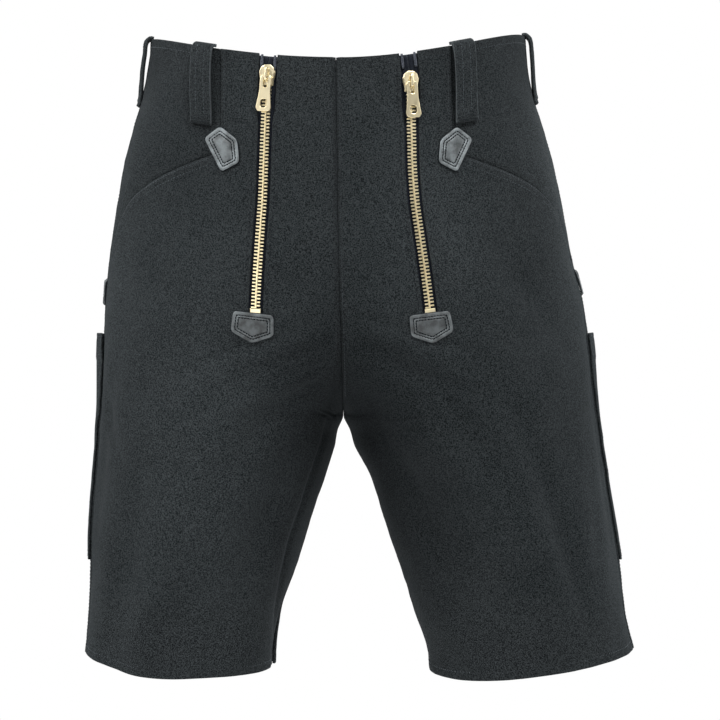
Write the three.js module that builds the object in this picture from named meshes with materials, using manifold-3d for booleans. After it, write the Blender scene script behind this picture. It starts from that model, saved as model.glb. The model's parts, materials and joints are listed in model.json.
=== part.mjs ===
// Bermuda work shorts in heavy black twill, with two brass front zips, worn shape with no wearer.
// Millimetres. +X is the wearer's left, -Y the front and +Z up.
// The origin is the middle of the waist opening, level with the waist edge at the side seams.
import * as THREE from "three";
import { mergeVertices } from "three/addons/utils/BufferGeometryUtils.js";
import Module from "manifold-3d";

const wasm = await Module();
wasm.setup();

// Driving dimensions
const CLOTH = 1.8; // thickness of every cloth wall
const GAP = 0.3; // clearance between neighbouring pieces
const ROUNDNESS = 2.2; // exponent of the superellipse that every level section follows
const CROTCH_Z = -316;
const SEAT_TOP_Z = -110; // above this level the centre seams run straight
const FORK = { ease: 1.3, power: 1.9 }; // how the two legs melt into one body above the crotch
const WAIST = { right: { side: 0, drop: 29.6, power: 2.1 }, left: { side: 2.5, drop: 32.2, power: 2.6 } };
// Levels of the hem at the outside and the inside of the leg, and the turns between which it falls.
const HEM = {
  right: { outside: -515, inside: -527.6, from: 12, to: 90 },
  left: { outside: -511.5, inside: -532, from: 4, to: 140 },
};
const ZIP_TOP_Z = -30;
const ZIP_BOTTOM_Z = -235;
const ZIP_SLOT = { chainHalf: 5.9, sliderHalf: 7.4, narrowBelow: -84, wideAbove: -66 };
const HIP_SEAM_X = 92; // seam between the front and the hip piece, from the middle line
const POCKET = { top: -104, slope: 44, curl: 56, curlPower: 6 }; // mouth line, falling towards the side seam
const SINK_FADE = 26; // over which a lapped piece comes back to the surface
const LEATHER = 1.4;

const SIDES = { right: -1, left: 1 };
const DEGREE = Math.PI / 180;

// Body sections: depth of the front and of the back from the middle plane, and the shift of the middle line.
const BODY = [
  { z: 20, front: 112, back: 115, middle: 0 },
  { z: 0, front: 114, back: 120, middle: 0 },
  { z: -33, front: 116, back: 124, middle: 0 },
  { z: -75, front: 121, back: 131, middle: 0.5 },
  { z: -112, front: 125, back: 139, middle: 1 },
  { z: -150, front: 128, back: 145, middle: 1.5 },
  { z: -190, front: 129, back: 147, middle: 2.3 },
  { z: -227, front: 127, back: 143, middle: 3.2 },
  { z: -265, front: 122, back: 134, middle: 4.5 },
  { z: -316, front: 113, back: 119, middle: 5 },
  { z: -367, front: 104, back: 106, middle: 5 },
  { z: -405, front: 98, back: 98, middle: 5 },
  { z: -444, front: 91, back: 91, middle: 5 },
  { z: -482, front: 86, back: 87, middle: 5 },
  { z: -545, front: 80, back: 82, middle: 5 },
];

// Outer and inner edge of each half, from the middle line. Above the crotch the inner edge is the middle line.
const HALF = {
  right: [
    { z: 20, outer: 157, inner: 0 },
    { z: 0, outer: 157.5, inner: 0 },
    { z: -25, outer: 160.5, inner: 0 },
    { z: -50, outer: 165, inner: 0 },
    { z: -75, outer: 172, inner: 0 },
    { z: -112, outer: 182, inner: 0 },
    { z: -150, outer: 189, inner: 0 },
    { z: -190, outer: 195, inner: 0 },
    { z: -227, outer: 199.5, inner: 0 },
    { z: -265, outer: 203.5, inner: 0 },
    { z: -316, outer: 206.5, inner: 0 },
    { z: -329, outer: 208, inner: 5 },
    { z: -342, outer: 208.5, inner: 7.5 },
    { z: -367, outer: 210, inner: 15 },
    { z: -405, outer: 212.5, inner: 27.5 },
    { z: -444, outer: 214.5, inner: 39 },
    { z: -482, outer: 216, inner: 52 },
    { z: -516, outer: 218, inner: 56.5 },
    { z: -545, outer: 219, inner: 58 },
  ],
  left: [
    { z: 20, outer: 157, inner: 0 },
    { z: 0, outer: 158.5, inner: 0 },
    { z: -25, outer: 160.5, inner: 0 },
    { z: -50, outer: 166, inner: 0 },
    { z: -75, outer: 174, inner: 0 },
    { z: -112, outer: 183.5, inner: 0 },
    { z: -150, outer: 191, inner: 0 },
    { z: -190, outer: 197, inner: 0 },
    { z: -227, outer: 205, inner: 0 },
    { z: -265, outer: 209.5, inner: 0 },
    { z: -316, outer: 214, inner: 0 },
    { z: -329, outer: 216, inner: 6 },
    { z: -342, outer: 218, inner: 10 },
    { z: -367, outer: 222, inner: 23 },
    { z: -405, outer: 229, inner: 35.5 },
    { z: -444, outer: 235, inner: 48 },
    { z: -482, outer: 239, inner: 60 },
    { z: -516, outer: 246, inner: 71.5 },
    { z: -545, outer: 250, inner: 75 },
  ],
};

// Soft folds. turn is in degrees round the half from the side seam plane, - to the front and + to the back;
// lean is how far the fold turns over its own length; depth is negative for a trough.
const FOLDS = {
  right: [
    { turn: -24, z: -400, lean: -6, long: 95, wide: 13, depth: -2.6 },
    { turn: -70, z: -420, lean: 4, long: 110, wide: 22, depth: 2.4 },
    { turn: -112, z: -322, lean: -22, long: 44, wide: 17, depth: -2.2 },
    { turn: -60, z: -235, lean: 14, long: 55, wide: 12, depth: -1.6 },
    { turn: 62, z: -262, lean: -30, long: 40, wide: 12, depth: -3.2 },
    { turn: 98, z: -300, lean: -34, long: 42, wide: 13, depth: -3.4 },
    { turn: 70, z: -410, lean: 8, long: 90, wide: 20, depth: 2.8 },
    { turn: 120, z: -400, lean: 10, long: 80, wide: 15, depth: -2.4 },
  ],
  left: [
    { turn: -52, z: -345, lean: 10, long: 90, wide: 13, depth: -3.4 },
    { turn: -82, z: -420, lean: -8, long: 110, wide: 18, depth: 2.6 },
    { turn: -34, z: -245, lean: -8, long: 60, wide: 11, depth: -2.6 },
    { turn: -116, z: -312, lean: -24, long: 46, wide: 17, depth: -2.4 },
    { turn: -26, z: -440, lean: 6, long: 80, wide: 12, depth: -2.2 },
    { turn: 58, z: -255, lean: -28, long: 42, wide: 12, depth: -3 },
    { turn: 94, z: -292, lean: -32, long: 40, wide: 13, depth: -3.4 },
    { turn: 74, z: -420, lean: -8, long: 90, wide: 20, depth: 2.8 },
    { turn: 124, z: -395, lean: 12, long: 80, wide: 15, depth: -2.4 },
  ],
};

const clamp = (v, lo, hi) => Math.min(Math.max(v, lo), hi);
const mix = (a, b, t) => a + (b - a) * t;
const smooth = (t) => {
  const s = clamp(t, 0, 1);
  return s * s * (3 - 2 * s);
};

// A smooth curve through one column of a table, with no overshoot between its rows.
function column(table, name) {
  const rows = [...table].sort((a, b) => a.z - b.z);
  const chord = (i) => (rows[i + 1][name] - rows[i][name]) / (rows[i + 1].z - rows[i].z);
  const slope = rows.map((_, i) => {
    if (i === 0) return chord(0);
    if (i === rows.length - 1) return chord(i - 1);
    const [below, above] = [chord(i - 1), chord(i)];
    return below * above <= 0 ? 0 : (2 * below * above) / (below + above);
  });
  return (z) => {
    const at = clamp(z, rows[0].z, rows[rows.length - 1].z);
    const i = clamp(rows.findIndex((r) => r.z >= at) - 1, 0, rows.length - 2);
    const width = rows[i + 1].z - rows[i].z;
    const t = (at - rows[i].z) / width;
    const [t2, t3] = [t * t, t * t * t];
    return (
      (2 * t3 - 3 * t2 + 1) * rows[i][name] +
      (t3 - 2 * t2 + t) * width * slope[i] +
      (3 * t2 - 2 * t3) * rows[i + 1][name] +
      (t3 - t2) * width * slope[i + 1]
    );
  };
}

// The zips' middle lines: distance from the middle line of the body.
const ZIP_LINE = [
  { z: -24, right: 53.4, left: 57.2 },
  { z: -42, right: 54.4, left: 59.1 },
  { z: -78, right: 56.4, left: 59.3 },
  { z: -110, right: 57.9, left: 59.4 },
  { z: -141, right: 59.2, left: 60.9 },
  { z: -167, right: 61.4, left: 63.9 },
  { z: -192, right: 63.6, left: 67 },
  { z: -218, right: 65.7, left: 69.9 },
  { z: -240, right: 67.2, left: 71.9 },
];

const bodyFront = column(BODY, "front");
const bodyBack = column(BODY, "back");
const bodyMiddle = column(BODY, "middle");
const outerEdge = { right: column(HALF.right, "outer"), left: column(HALF.left, "outer") };
const innerEdge = { right: column(HALF.right, "inner"), left: column(HALF.left, "inner") };

// The section of one half at a level: its axis, and its reach outward, inward, to the front and to the back.
function section(side, z) {
  const outer = outerEdge[side](z);
  const inner = innerEdge[side](z);
  const rise = clamp((z - CROTCH_Z) / (SEAT_TOP_Z - CROTCH_Z), 0, 1);
  const fork = Math.max((1 - rise ** FORK.ease) ** FORK.power, 0.02);
  const axis = (fork * (outer + inner)) / 2;
  return {
    axis,
    outward: outer - axis,
    inward: (outer - inner) / 2 / fork,
    front: bodyFront(z),
    back: bodyBack(z),
    middle: bodyMiddle(z),
  };
}

// How far the other coordinate of the unit superellipse is when one is given.
const partner = (share) => (1 - clamp(Math.abs(share), 0, 1) ** ROUNDNESS) ** (1 / ROUNDNESS);

// The turn at which the front of a half stands a given distance from the middle line.
function frontTurnAt(side, x, z) {
  const s = section(side, z);
  const share = (x - s.axis) / (x > s.axis ? s.outward : s.inward);
  return -Math.atan2(partner(share), share);
}

// The turns at which a half ends: at the centre seam above the crotch, and at the inseam below it.
function endTurns(side, z) {
  const s = section(side, z);
  const share = Math.min(s.axis / s.inward, 1);
  const full = Math.atan2(partner(share), -share);
  return {
    front: -Math.min(full, Math.PI - GAP / 2 / s.front),
    back: Math.min(full, Math.PI - GAP / 2 / s.back),
  };
}

const sideSeamTurn = (z) => mix(-8, -14, smooth((-150 - z) / 110)) * DEGREE;

function foldHeight(side, turn, z) {
  let height = 0;
  for (const fold of FOLDS[side]) {
    const along = (z - fold.z) / fold.long;
    const across = (turn / DEGREE - fold.turn - fold.lean * along) / fold.wide;
    height += fold.depth * Math.exp(-along * along - across * across);
  }
  return height;
}

// A point of the cloth's outer face before it gets its folds.
function smoothPoint(side, turn, z) {
  const s = section(side, z);
  const [c, q] = [Math.cos(turn), Math.sin(turn)];
  const r = (Math.abs(c) ** ROUNDNESS + Math.abs(q) ** ROUNDNESS) ** (-1 / ROUNDNESS);
  const across = s.axis + (c >= 0 ? s.outward : s.inward) * r * c;
  const deep = (q < 0 ? s.front : s.back) * r * q;
  return new THREE.Vector3(s.middle + SIDES[side] * across, deep, z);
}

// A point of the cloth's outer face, folds included.
function clothPoint(side, turn, z) {
  const point = smoothPoint(side, turn, z);
  const s = section(side, z);
  const awayFromMiddle = smooth(Math.abs(point.x - s.middle) / 30);
  const height = foldHeight(side, turn, z) * awayFromMiddle;
  return point.add(new THREE.Vector3(SIDES[side] * Math.cos(turn), Math.sin(turn), 0).multiplyScalar(height));
}

// The direction straight out of the cloth.
function outwards(side, turn, z) {
  const step = 0.01;
  const lift = 1.5;
  const round = clothPoint(side, turn + step, z).sub(clothPoint(side, turn - step, z));
  const up = clothPoint(side, turn, z + lift).sub(clothPoint(side, turn, z - lift));
  return round.cross(up).multiplyScalar(SIDES[side]).normalize();
}

// A point moved out of the cloth's outer face by a distance, kept on its own side of the middle line.
function above(side, turn, z, distance, onSeam = false) {
  const out = outwards(side, turn, z);
  if (onSeam) out.setX(0).normalize();
  const point = clothPoint(side, turn, z).addScaledVector(out, distance);
  const middle = bodyMiddle(z);
  const away = Math.max((point.x - middle) * SIDES[side], GAP / 2);
  return point.setX(middle + away * SIDES[side]);
}

// The turn a given distance round the cloth from a turn, positive to the image's right as seen from the front.
function turnBeside(side, turn, z, distance) {
  const step = 0.01;
  const metric = clothPoint(side, turn + step, z).distanceTo(clothPoint(side, turn - step, z)) / (2 * step);
  return turn + (SIDES[side] * distance) / metric;
}

const waistLine = (side, turn) => {
  const w = WAIST[side];
  return w.side - (turn < 0 ? w.drop * Math.abs(Math.sin(turn)) ** w.power : w.side * Math.sin(turn) ** 2);
};
const hemLine = (side, turn) => {
  const h = HEM[side];
  return mix(h.outside, h.inside, smooth((Math.abs(turn) / DEGREE - h.from) / (h.to - h.from)));
};
const zipLines = { right: column(ZIP_LINE, "right"), left: column(ZIP_LINE, "left") };
const zipLine = (side, z) => zipLines[side](z);
const zipSlotHalf = (z) => {
  const s = ZIP_SLOT;
  return mix(s.chainHalf, s.sliderHalf, smooth((z - s.narrowBelow) / (s.wideAbove - s.narrowBelow)));
};
const pocketLine = (t) => POCKET.top - POCKET.slope * t - POCKET.curl * t ** POCKET.curlPower;

// A closed mesh from a list of points and faces of three or four corners.
function solid(points, faces) {
  const positions = points.flatMap((p) => [p.x, p.y, p.z]);
  let index = faces.flatMap((f) => (f.length === 4 ? [f[0], f[1], f[2], f[0], f[2], f[3]] : f));
  let volume = 0;
  for (let i = 0; i < index.length; i += 3) {
    const [a, b, c] = [0, 1, 2].map((k) => points[index[i + k]]);
    volume += a.dot(new THREE.Vector3().crossVectors(b, c));
  }
  if (volume < 0) index = index.reverse();
  const geometry = new THREE.BufferGeometry();
  geometry.setAttribute("position", new THREE.Float32BufferAttribute(positions, 3));
  geometry.setIndex(index);
  return geometry;
}

// A closed wall between two matching grids of points. Cells that keep refuses are left open.
function wall(outer, inner, keep = () => true) {
  const [rows, cols] = [outer.length, outer[0].length];
  const at = (face, i, j) => face * rows * cols + i * cols + j;
  const kept = (i, j) => i >= 0 && j >= 0 && i < rows - 1 && j < cols - 1 && keep(i, j);
  const faces = [];
  for (let i = 0; i < rows - 1; i++) {
    for (let j = 0; j < cols - 1; j++) {
      if (!kept(i, j)) continue;
      faces.push([at(0, i, j), at(0, i, j + 1), at(0, i + 1, j + 1), at(0, i + 1, j)]);
      faces.push([at(1, i, j), at(1, i + 1, j), at(1, i + 1, j + 1), at(1, i, j + 1)]);
      const rims = [
        [kept(i - 1, j), [i, j], [i, j + 1]],
        [kept(i + 1, j), [i + 1, j + 1], [i + 1, j]],
        [kept(i, j - 1), [i + 1, j], [i, j]],
        [kept(i, j + 1), [i, j + 1], [i + 1, j + 1]],
      ];
      for (const [joined, a, b] of rims) {
        if (!joined) faces.push([at(0, ...b), at(0, ...a), at(1, ...a), at(1, ...b)]);
      }
    }
  }
  return solid([...outer.flat(), ...inner.flat()], faces);
}

const steps = (count) => Array.from({ length: count + 1 }, (_, i) => i / count);
const gridOf = (rows, cols, point) => rows.map((r, i) => cols.map((c, j) => point(r, c, i, j)));

// Rows and columns that the front, hip and back pieces share, so that their edges meet point for point.
// Row -1 is the hem, the last row the waist, and SHOULDER_ROW follows the pocket mouth.
const LEG_LEVELS = [-502, -474, -446, -418, -390, -366, -346, -331, -321, -314, -306, -294, -277, -256];
const HIP_LEVELS = [ZIP_BOTTOM_Z, -205, -175, -140, POCKET.top];
const LEVELS = [...LEG_LEVELS, ...HIP_LEVELS];
const BAND_ROWS = 6; // between the shoulder row and the waist
const SHOULDER_ROW = LEVELS.length - 1;
const SLOT_ROW = LEG_LEVELS.length;
const WAIST_ROW = SHOULDER_ROW + BAND_ROWS;
const BEND_FROM_Z = -330; // below this level the rows are straight

// The level of a row where the shoulder row and the waist line stand at the given levels.
function rowLevel(row, shoulder, waist, hem) {
  if (row < 0) return mix(hem, LEVELS[0], row + 1);
  if (row > SHOULDER_ROW) return mix(shoulder, waist, (row - SHOULDER_ROW) / BAND_ROWS);
  const base = Math.floor(row);
  const level = mix(LEVELS[base], LEVELS[Math.min(base + 1, SHOULDER_ROW)], row - base);
  const bend = clamp((level - BEND_FROM_Z) / (POCKET.top - BEND_FROM_Z), 0, 1);
  return level + bend * (shoulder - POCKET.top);
}

const rowsFrom = (first, last) => Array.from({ length: last - first + 1 }, (_, i) => first + i);

// Front panel: from the centre seam and inseam to the side seam, with a slot for the zip and the pocket mouth cut away.
const LINE_SHARES = [0, 0.18, 0.24, 0.32, 1]; // where the column lines stand round a leg's front
const LINE_STEPS = [4, 1, 2, 9]; // columns between the lines
const LINES_EXACT_Z = -250;
const LINES_EVEN_Z = -330;
const FRONT_COLUMNS = LINE_STEPS.flatMap((count, line) => steps(count).slice(0, count).map((t) => ({ line, t })));
FRONT_COLUMNS.push({ line: 3, t: 1 });
const SLOT_COLUMN = LINE_STEPS[0];
const HIP_COLUMN = LINE_STEPS[0] + LINE_STEPS[1] + LINE_STEPS[2];

function frontTurn(side, z, col) {
  const ends = endTurns(side, z);
  const seam = sideSeamTurn(z) - GAP / 2 / section(side, z).outward;
  const zip = zipLine(side, z);
  const exact = [zip - zipSlotHalf(z), zip + zipSlotHalf(z), HIP_SEAM_X].map((x) => frontTurnAt(side, x, z));
  const even = smooth((LINES_EXACT_Z - z) / (LINES_EXACT_Z - LINES_EVEN_Z));
  const line = (i) => mix([ends.front, ...exact, seam][i], mix(ends.front, seam, LINE_SHARES[i]), even);
  return mix(line(col.line), line(col.line + 1), col.t);
}

// A point of the front's grid. distance is out of the cloth's outer face.
function frontPoint(side, row, col, distance) {
  const shoulder = col.line === 3 ? pocketLine(col.t) : POCKET.top;
  const waist = waistLine(side, frontTurn(side, ZIP_TOP_Z * (1 - Math.max(col.line + col.t - 3, 0)), col));
  const z = rowLevel(row, shoulder, waist, hemLine(side, frontTurn(side, LEVELS[0], col)));
  return above(side, frontTurn(side, z, col), z, distance, col.line + col.t === 0 && z > CROTCH_Z);
}

function frontPanel(side) {
  const rows = rowsFrom(-1, WAIST_ROW);
  const face = (distance) => gridOf(rows, FRONT_COLUMNS, (row, col) => frontPoint(side, row, col, distance));
  const inSlot = (row, j) => j === SLOT_COLUMN && row >= SLOT_ROW;
  const inPocketMouth = (row, j) => j >= HIP_COLUMN && row >= SHOULDER_ROW;
  return wall(face(0), face(-CLOTH), (i, j) => !inSlot(rows[i], j) && !inPocketMouth(rows[i], j));
}

// Hip piece: the pocket's back, under the front panel along the mouth and level with the cloth elsewhere.
function hipPanel(side) {
  const lapRow = SHOULDER_ROW - 0.33;
  const rows = [lapRow, ...rowsFrom(SHOULDER_ROW, WAIST_ROW)];
  const lapColumn = { line: 2, t: 0.6 };
  const cols = [lapColumn, ...FRONT_COLUMNS.slice(HIP_COLUMN)];
  const face = (distance) =>
    gridOf(rows, cols, (row, col) => {
      const fromMouth = (Math.max(row - SHOULDER_ROW, 0) / BAND_ROWS) * (70 + 130 * (col.line === 3 ? col.t : 0));
      const fromSeam = col.line === 3 ? col.t * 105 : 0;
      const sink = (CLOTH + GAP) * (1 - smooth(Math.min(fromMouth, fromSeam) / SINK_FADE));
      const at = (r, c) => frontPoint(side, r, c, distance - sink);
      const across = (r) => (col === lapColumn ? at(r, { line: 2, t: 0.5 }).lerp(at(r, { line: 2, t: 1 }), 0.2) : at(r, col));
      return row === lapRow ? across(SHOULDER_ROW - 1).lerp(across(SHOULDER_ROW), 0.67) : across(row);
    });
  return wall(face(0), face(-CLOTH));
}

// Back panel: from the side seam to the centre back seam and the inseam.
const BACK_COLUMNS = 13;
function backPanel(side) {
  const rows = rowsFrom(-1, WAIST_ROW);
  const face = (distance) =>
    gridOf(rows, steps(BACK_COLUMNS), (row, c) => {
      const turnAt = (z) => {
        const seam = sideSeamTurn(z) + GAP / 2 / section(side, z).outward;
        return mix(seam, endTurns(side, z).back, c);
      };
      const shoulder = mix(pocketLine(1), POCKET.top, smooth(c / 0.6));
      const z = rowLevel(row, shoulder, waistLine(side, turnAt(0)), hemLine(side, turnAt(LEVELS[0])));
      return above(side, turnAt(z), z, distance, c === 1 && z > CROTCH_Z);
    });
  return wall(face(0), face(-CLOTH));
}

// A strip that follows the zip line: its columns are distances from the line and its rows levels,
// where a row may also be "waist".
function zipStrip(side, distances, levels, top, thickness) {
  const face = (out) =>
    gridOf(levels, distances, (level, from) => {
      const x = (z) => zipLine(side, z) + from;
      const z = level === "waist" ? waistLine(side, frontTurnAt(side, x(ZIP_TOP_Z), ZIP_TOP_Z)) - 1 : level;
      return above(side, frontTurnAt(side, x(z), z), z, out);
    });
  return wall(face(top), face(top - thickness));
}

const TAPE_TOP = -(CLOTH + 0.6);
const TAPE = 1;
const TAPE_HALF = 13;
const CHAIN_HALF = 3.6;
const STOP_HALF = 4.2;
const CHAIN_TOP = -0.2;
const CHAIN_HEIGHT = 1.7;
const STOP = { low: ZIP_BOTTOM_Z + 0.8, high: ZIP_BOTTOM_Z + 6 };
const SLIDER_Z = { right: -43.5, left: -48.5 };
const SLIDER_REACH = { up: 8, down: 10.5 };
const SHIELD_HALF = 15.5;
const SHIELD_TOP = TAPE_TOP - TAPE - GAP;
const ZIP_LEVELS = [-218, -205, -190, -175, -157, -140, -122, POCKET.top, -92, -80, -68, -56];

const zipTape = (side, sign) => {
  const distances = [GAP / 2, ZIP_SLOT.chainHalf, TAPE_HALF].map((d) => sign * d);
  return zipStrip(side, distances, [ZIP_BOTTOM_Z - 6, ZIP_BOTTOM_Z, ...ZIP_LEVELS, "waist"], TAPE_TOP, TAPE);
};
const zipShield = (side) => {
  const distances = [-SHIELD_HALF, -ZIP_SLOT.chainHalf, ZIP_SLOT.chainHalf, SHIELD_HALF];
  return zipStrip(side, distances, [ZIP_BOTTOM_Z - 8, ZIP_BOTTOM_Z, ...ZIP_LEVELS, "waist"], SHIELD_TOP, CLOTH);
};
const zipChain = (side) => {
  const top = SLIDER_Z[side] - SLIDER_REACH.down - 0.6;
  const levels = [STOP.high + GAP, ...ZIP_LEVELS.filter((z) => z < top - 2), top];
  return zipStrip(side, [-CHAIN_HALF, CHAIN_HALF], levels, CHAIN_TOP, CHAIN_HEIGHT);
};
const zipStop = (side) =>
  zipStrip(side, [-STOP_HALF, STOP_HALF], [STOP.low, STOP.high], CHAIN_TOP + 0.2, CHAIN_HEIGHT + 0.2);

// Points of a polygon's outline with rounded corners.
function rounded(corners, radius, stepsPerCorner = 3) {
  const points = [];
  corners.forEach((corner, i) => {
    const before = corners[(i + corners.length - 1) % corners.length];
    const after = corners[(i + 1) % corners.length];
    const [p, a, b] = [corner, before, after].map(([x, y]) => new THREE.Vector2(x, y));
    const start = p.clone().add(a.clone().sub(p).setLength(radius));
    const end = p.clone().add(b.clone().sub(p).setLength(radius));
    for (const t of steps(stepsPerCorner - 1)) {
      points.push(start.clone().lerp(p, t).lerp(p.clone().lerp(end, t), t));
    }
    points.push(end.clone().lerp(b.clone().add(p.clone().sub(b).setLength(radius)), 0.5));
  });
  return points;
}

// A flat badge laid on the cloth round an anchor. Its outline is in millimetres to the image's right and up.
function badge(side, turnOf, z, outline, thickness, lift = GAP) {
  const centre = outline.reduce((sum, p) => sum.add(p), new THREE.Vector2()).divideScalar(outline.length);
  const layer = (distance) => {
    const place = (p) => above(side, turnOf(z + p.y, p.x), z + p.y, distance);
    const ring = (share) => outline.map((p) => place(centre.clone().lerp(p, share)));
    return [place(centre), ...ring(0.55), ...ring(1)];
  };
  const count = outline.length;
  const points = [...layer(lift + thickness), ...layer(lift)];
  const offset = 1 + 2 * count;
  const faces = [];
  for (let i = 0; i < count; i++) {
    const next = (i + 1) % count;
    const [a, b, c, d] = [1 + i, 1 + next, 1 + count + next, 1 + count + i];
    faces.push([0, a, b], [a, d, c, b]);
    faces.push([offset, offset + b, offset + a], [offset + a, offset + b, offset + c, offset + d]);
    faces.push([d, offset + d, offset + c, c]);
  }
  return solid(points, faces);
}

// Leather tips, as corner lists for the wearer's left; the right ones are mirrored.
const ZIP_TIP = [[-16.6, 9.1], [15.2, 12.9], [18, -3.2], [1.8, -13], [-15.8, -7.3]];
const ZIP_TIP_SHIFT = { right: 1.9, left: -0.5 }; // from the zip's line
const POCKET_TIP = [[2.6, 16.6], [15.3, 7.2], [2.1, -20.2], [-12.7, -12.9], [-11, 5.3]];
const POCKET_TIP_X = { right: 89.5, left: 92.5 };
const SIDE_TIP = [[-1, 12], [6, 7], [7, -9], [-6, -11], [-7, 5]];
const SIDE_TIP_Z = { right: -212.5, left: -204.5 };
const mirrored = (side, corners) => corners.map(([x, y]) => [SIDES[side] * x, y]);

// A front tip's outline is flat as seen from the front, the side tip's follows the cloth round.
const frontTip = (side, x, z, corners) => {
  const turnOf = (level, across) => frontTurnAt(side, x + SIDES[side] * across, level);
  return badge(side, turnOf, z, rounded(mirrored(side, corners), 3), LEATHER);
};
const zipTip = (side) => {
  const x = zipLine(side, ZIP_BOTTOM_Z) + ZIP_TIP_SHIFT[side];
  return frontTip(side, x, ZIP_BOTTOM_Z - 8.5, ZIP_TIP);
};
const pocketTip = (side) => frontTip(side, POCKET_TIP_X[side], POCKET.top + 3.6, POCKET_TIP);
const sideTip = (side) => {
  const turnOf = (level, across) => turnBeside(side, -10 * DEGREE, level, across);
  return badge(side, turnOf, SIDE_TIP_Z[side], rounded(mirrored(side, SIDE_TIP), 2.5), LEATHER, 0.6);
};

// Belt loop: a strap that leaves the waist edge, stands off the cloth and comes back to it.
// out is the distance of its middle from the cloth, rise the height above the waist edge.
const LOOP_PATH = {
  front: [
    { out: -1.2, rise: 1.8 },
    { out: 2, rise: 2 },
    { out: 4.8, rise: 0.2 },
    { out: 6.2, rise: -4 },
    { out: 6.7, rise: -9 },
    { out: 6.7, rise: -15 },
    { out: 6.4, rise: -23 },
    { out: 5.7, rise: -32 },
    { out: 4.5, rise: -42 },
    { out: 3, rise: -51 },
    { out: 2.1, rise: -56.5 },
    { out: 2.1, rise: -62.5 },
  ],
  side: [
    { out: -1.2, rise: 1.9 },
    { out: 1.4, rise: 2.6 },
    { out: 3.8, rise: 1.2 },
    { out: 4.8, rise: -2.5 },
    { out: 5.1, rise: -8 },
    { out: 5.1, rise: -14 },
    { out: 5.1, rise: -20 },
    { out: 4.8, rise: -28 },
    { out: 4, rise: -36 },
    { out: 2.9, rise: -43 },
    { out: 2.1, rise: -48 },
    { out: 2.1, rise: -56 },
  ],
};
const LOOP_WIDTH = 18.5;
const LOOP_CLOTH = 2.6;

// The two faces of a loop along its path, as pairs of out and rise.
function loopFace(path, sign) {
  return path.map((point, i) => {
    const a = path[Math.max(i - 1, 0)];
    const b = path[Math.min(i + 1, path.length - 1)];
    const half = (sign * LOOP_CLOTH) / 2 / Math.hypot(b.out - a.out, b.rise - a.rise);
    return { out: point.out - half * (b.rise - a.rise), rise: point.rise + half * (b.out - a.out) };
  });
}

function beltLoop(side, turnOf, path) {
  const face = (sign) =>
    gridOf(loopFace(path, sign), [-0.5, -0.25, 0, 0.25, 0.5], ({ out, rise }, share) => {
      const at = turnBeside(side, turnOf(rise), ZIP_TOP_Z, LOOP_WIDTH * share);
      return above(side, at, waistLine(side, at) + rise, out);
    });
  return wall(face(1), face(-1));
}

// The centre back loop spans both halves, so it is worked out from the middle line.
function backLoop() {
  const face = (sign) =>
    gridOf(loopFace(LOOP_PATH.front, sign), [-0.5, -0.25, 0, 0.25, 0.5], ({ out, rise }, share) => {
      return new THREE.Vector3(bodyMiddle(rise) + LOOP_WIDTH * share, bodyBack(rise) + out, rise);
    });
  return wall(face(1), face(-1));
}

// Rule pocket: a patch on the back panel beside the side seam, standing off at its mouth.
const RULE = { top: -247, bottom: -437, width: 88, cloth: 2.2, lift: 0.5, edge: 12, base: 0.4, gapeDepth: 90 };
const RULE_GAPE = { right: 3, left: 2 };
function rulePocket(side) {
  const rows = [0, 0.08, 0.25, 0.45, 0.62, 0.75, 0.88, 1];
  const face = (distance) =>
    gridOf(rows, [0, 0.05, 0.12, 0.28, 0.5, 0.72, 0.88, 1], (r, c) => {
      const z = mix(RULE.bottom, RULE.top, r);
      const seam = sideSeamTurn(z) + 1.2 / section(side, z).outward;
      const turn = turnBeside(side, seam, z, SIDES[side] * RULE.width * c);
      const edge = RULE.width * Math.min(c, 1 - c);
      const gape = RULE.base + RULE_GAPE[side] * smooth(1 - (RULE.top - z) / RULE.gapeDepth);
      const stand = gape * smooth(edge / RULE.edge) * smooth(r * 8);
      return above(side, turn, z, RULE.lift + stand + distance);
    });
  return wall(face(RULE.cloth), face(0));
}

// A three.js geometry as a manifold-3d solid, and back.
function toManifold(geometry) {
  const bare = geometry.clone();
  bare.deleteAttribute("normal");
  bare.deleteAttribute("uv");
  const merged = mergeVertices(bare, 1e-4);
  return new wasm.Manifold(
    new wasm.Mesh({
      numProp: 3,
      vertProperties: merged.attributes.position.array,
      triVerts: new Uint32Array(merged.index.array),
    }),
  );
}
function fromManifold(manifold) {
  const mesh = manifold.getMesh();
  const geometry = new THREE.BufferGeometry();
  geometry.setAttribute("position", new THREE.Float32BufferAttribute(mesh.vertProperties, 3));
  geometry.setIndex([...mesh.triVerts]);
  return geometry;
}

// Slider and pull, in a frame with X across the zip, Y up along it and Z straight out of the cloth's face.
const SLIDER_TOP = 2.2;
const BRIDGE = { width: 2, up: 5.5, down: -5, height: 4.4, wall: 1.2 };
const PULL_AXIS = { y: -1.6, z: SLIDER_TOP + 1.55 };
const PULL_SLOT_HALF = 1.5;
const PULL_THICK = 1.6;
const PULL_LEAN = { right: -3, left: 3 };
const PULL_DROOP = 3; // the free end leans this many degrees towards the teeth

function shapeOf(points) {
  return new THREE.Shape(points);
}

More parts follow.
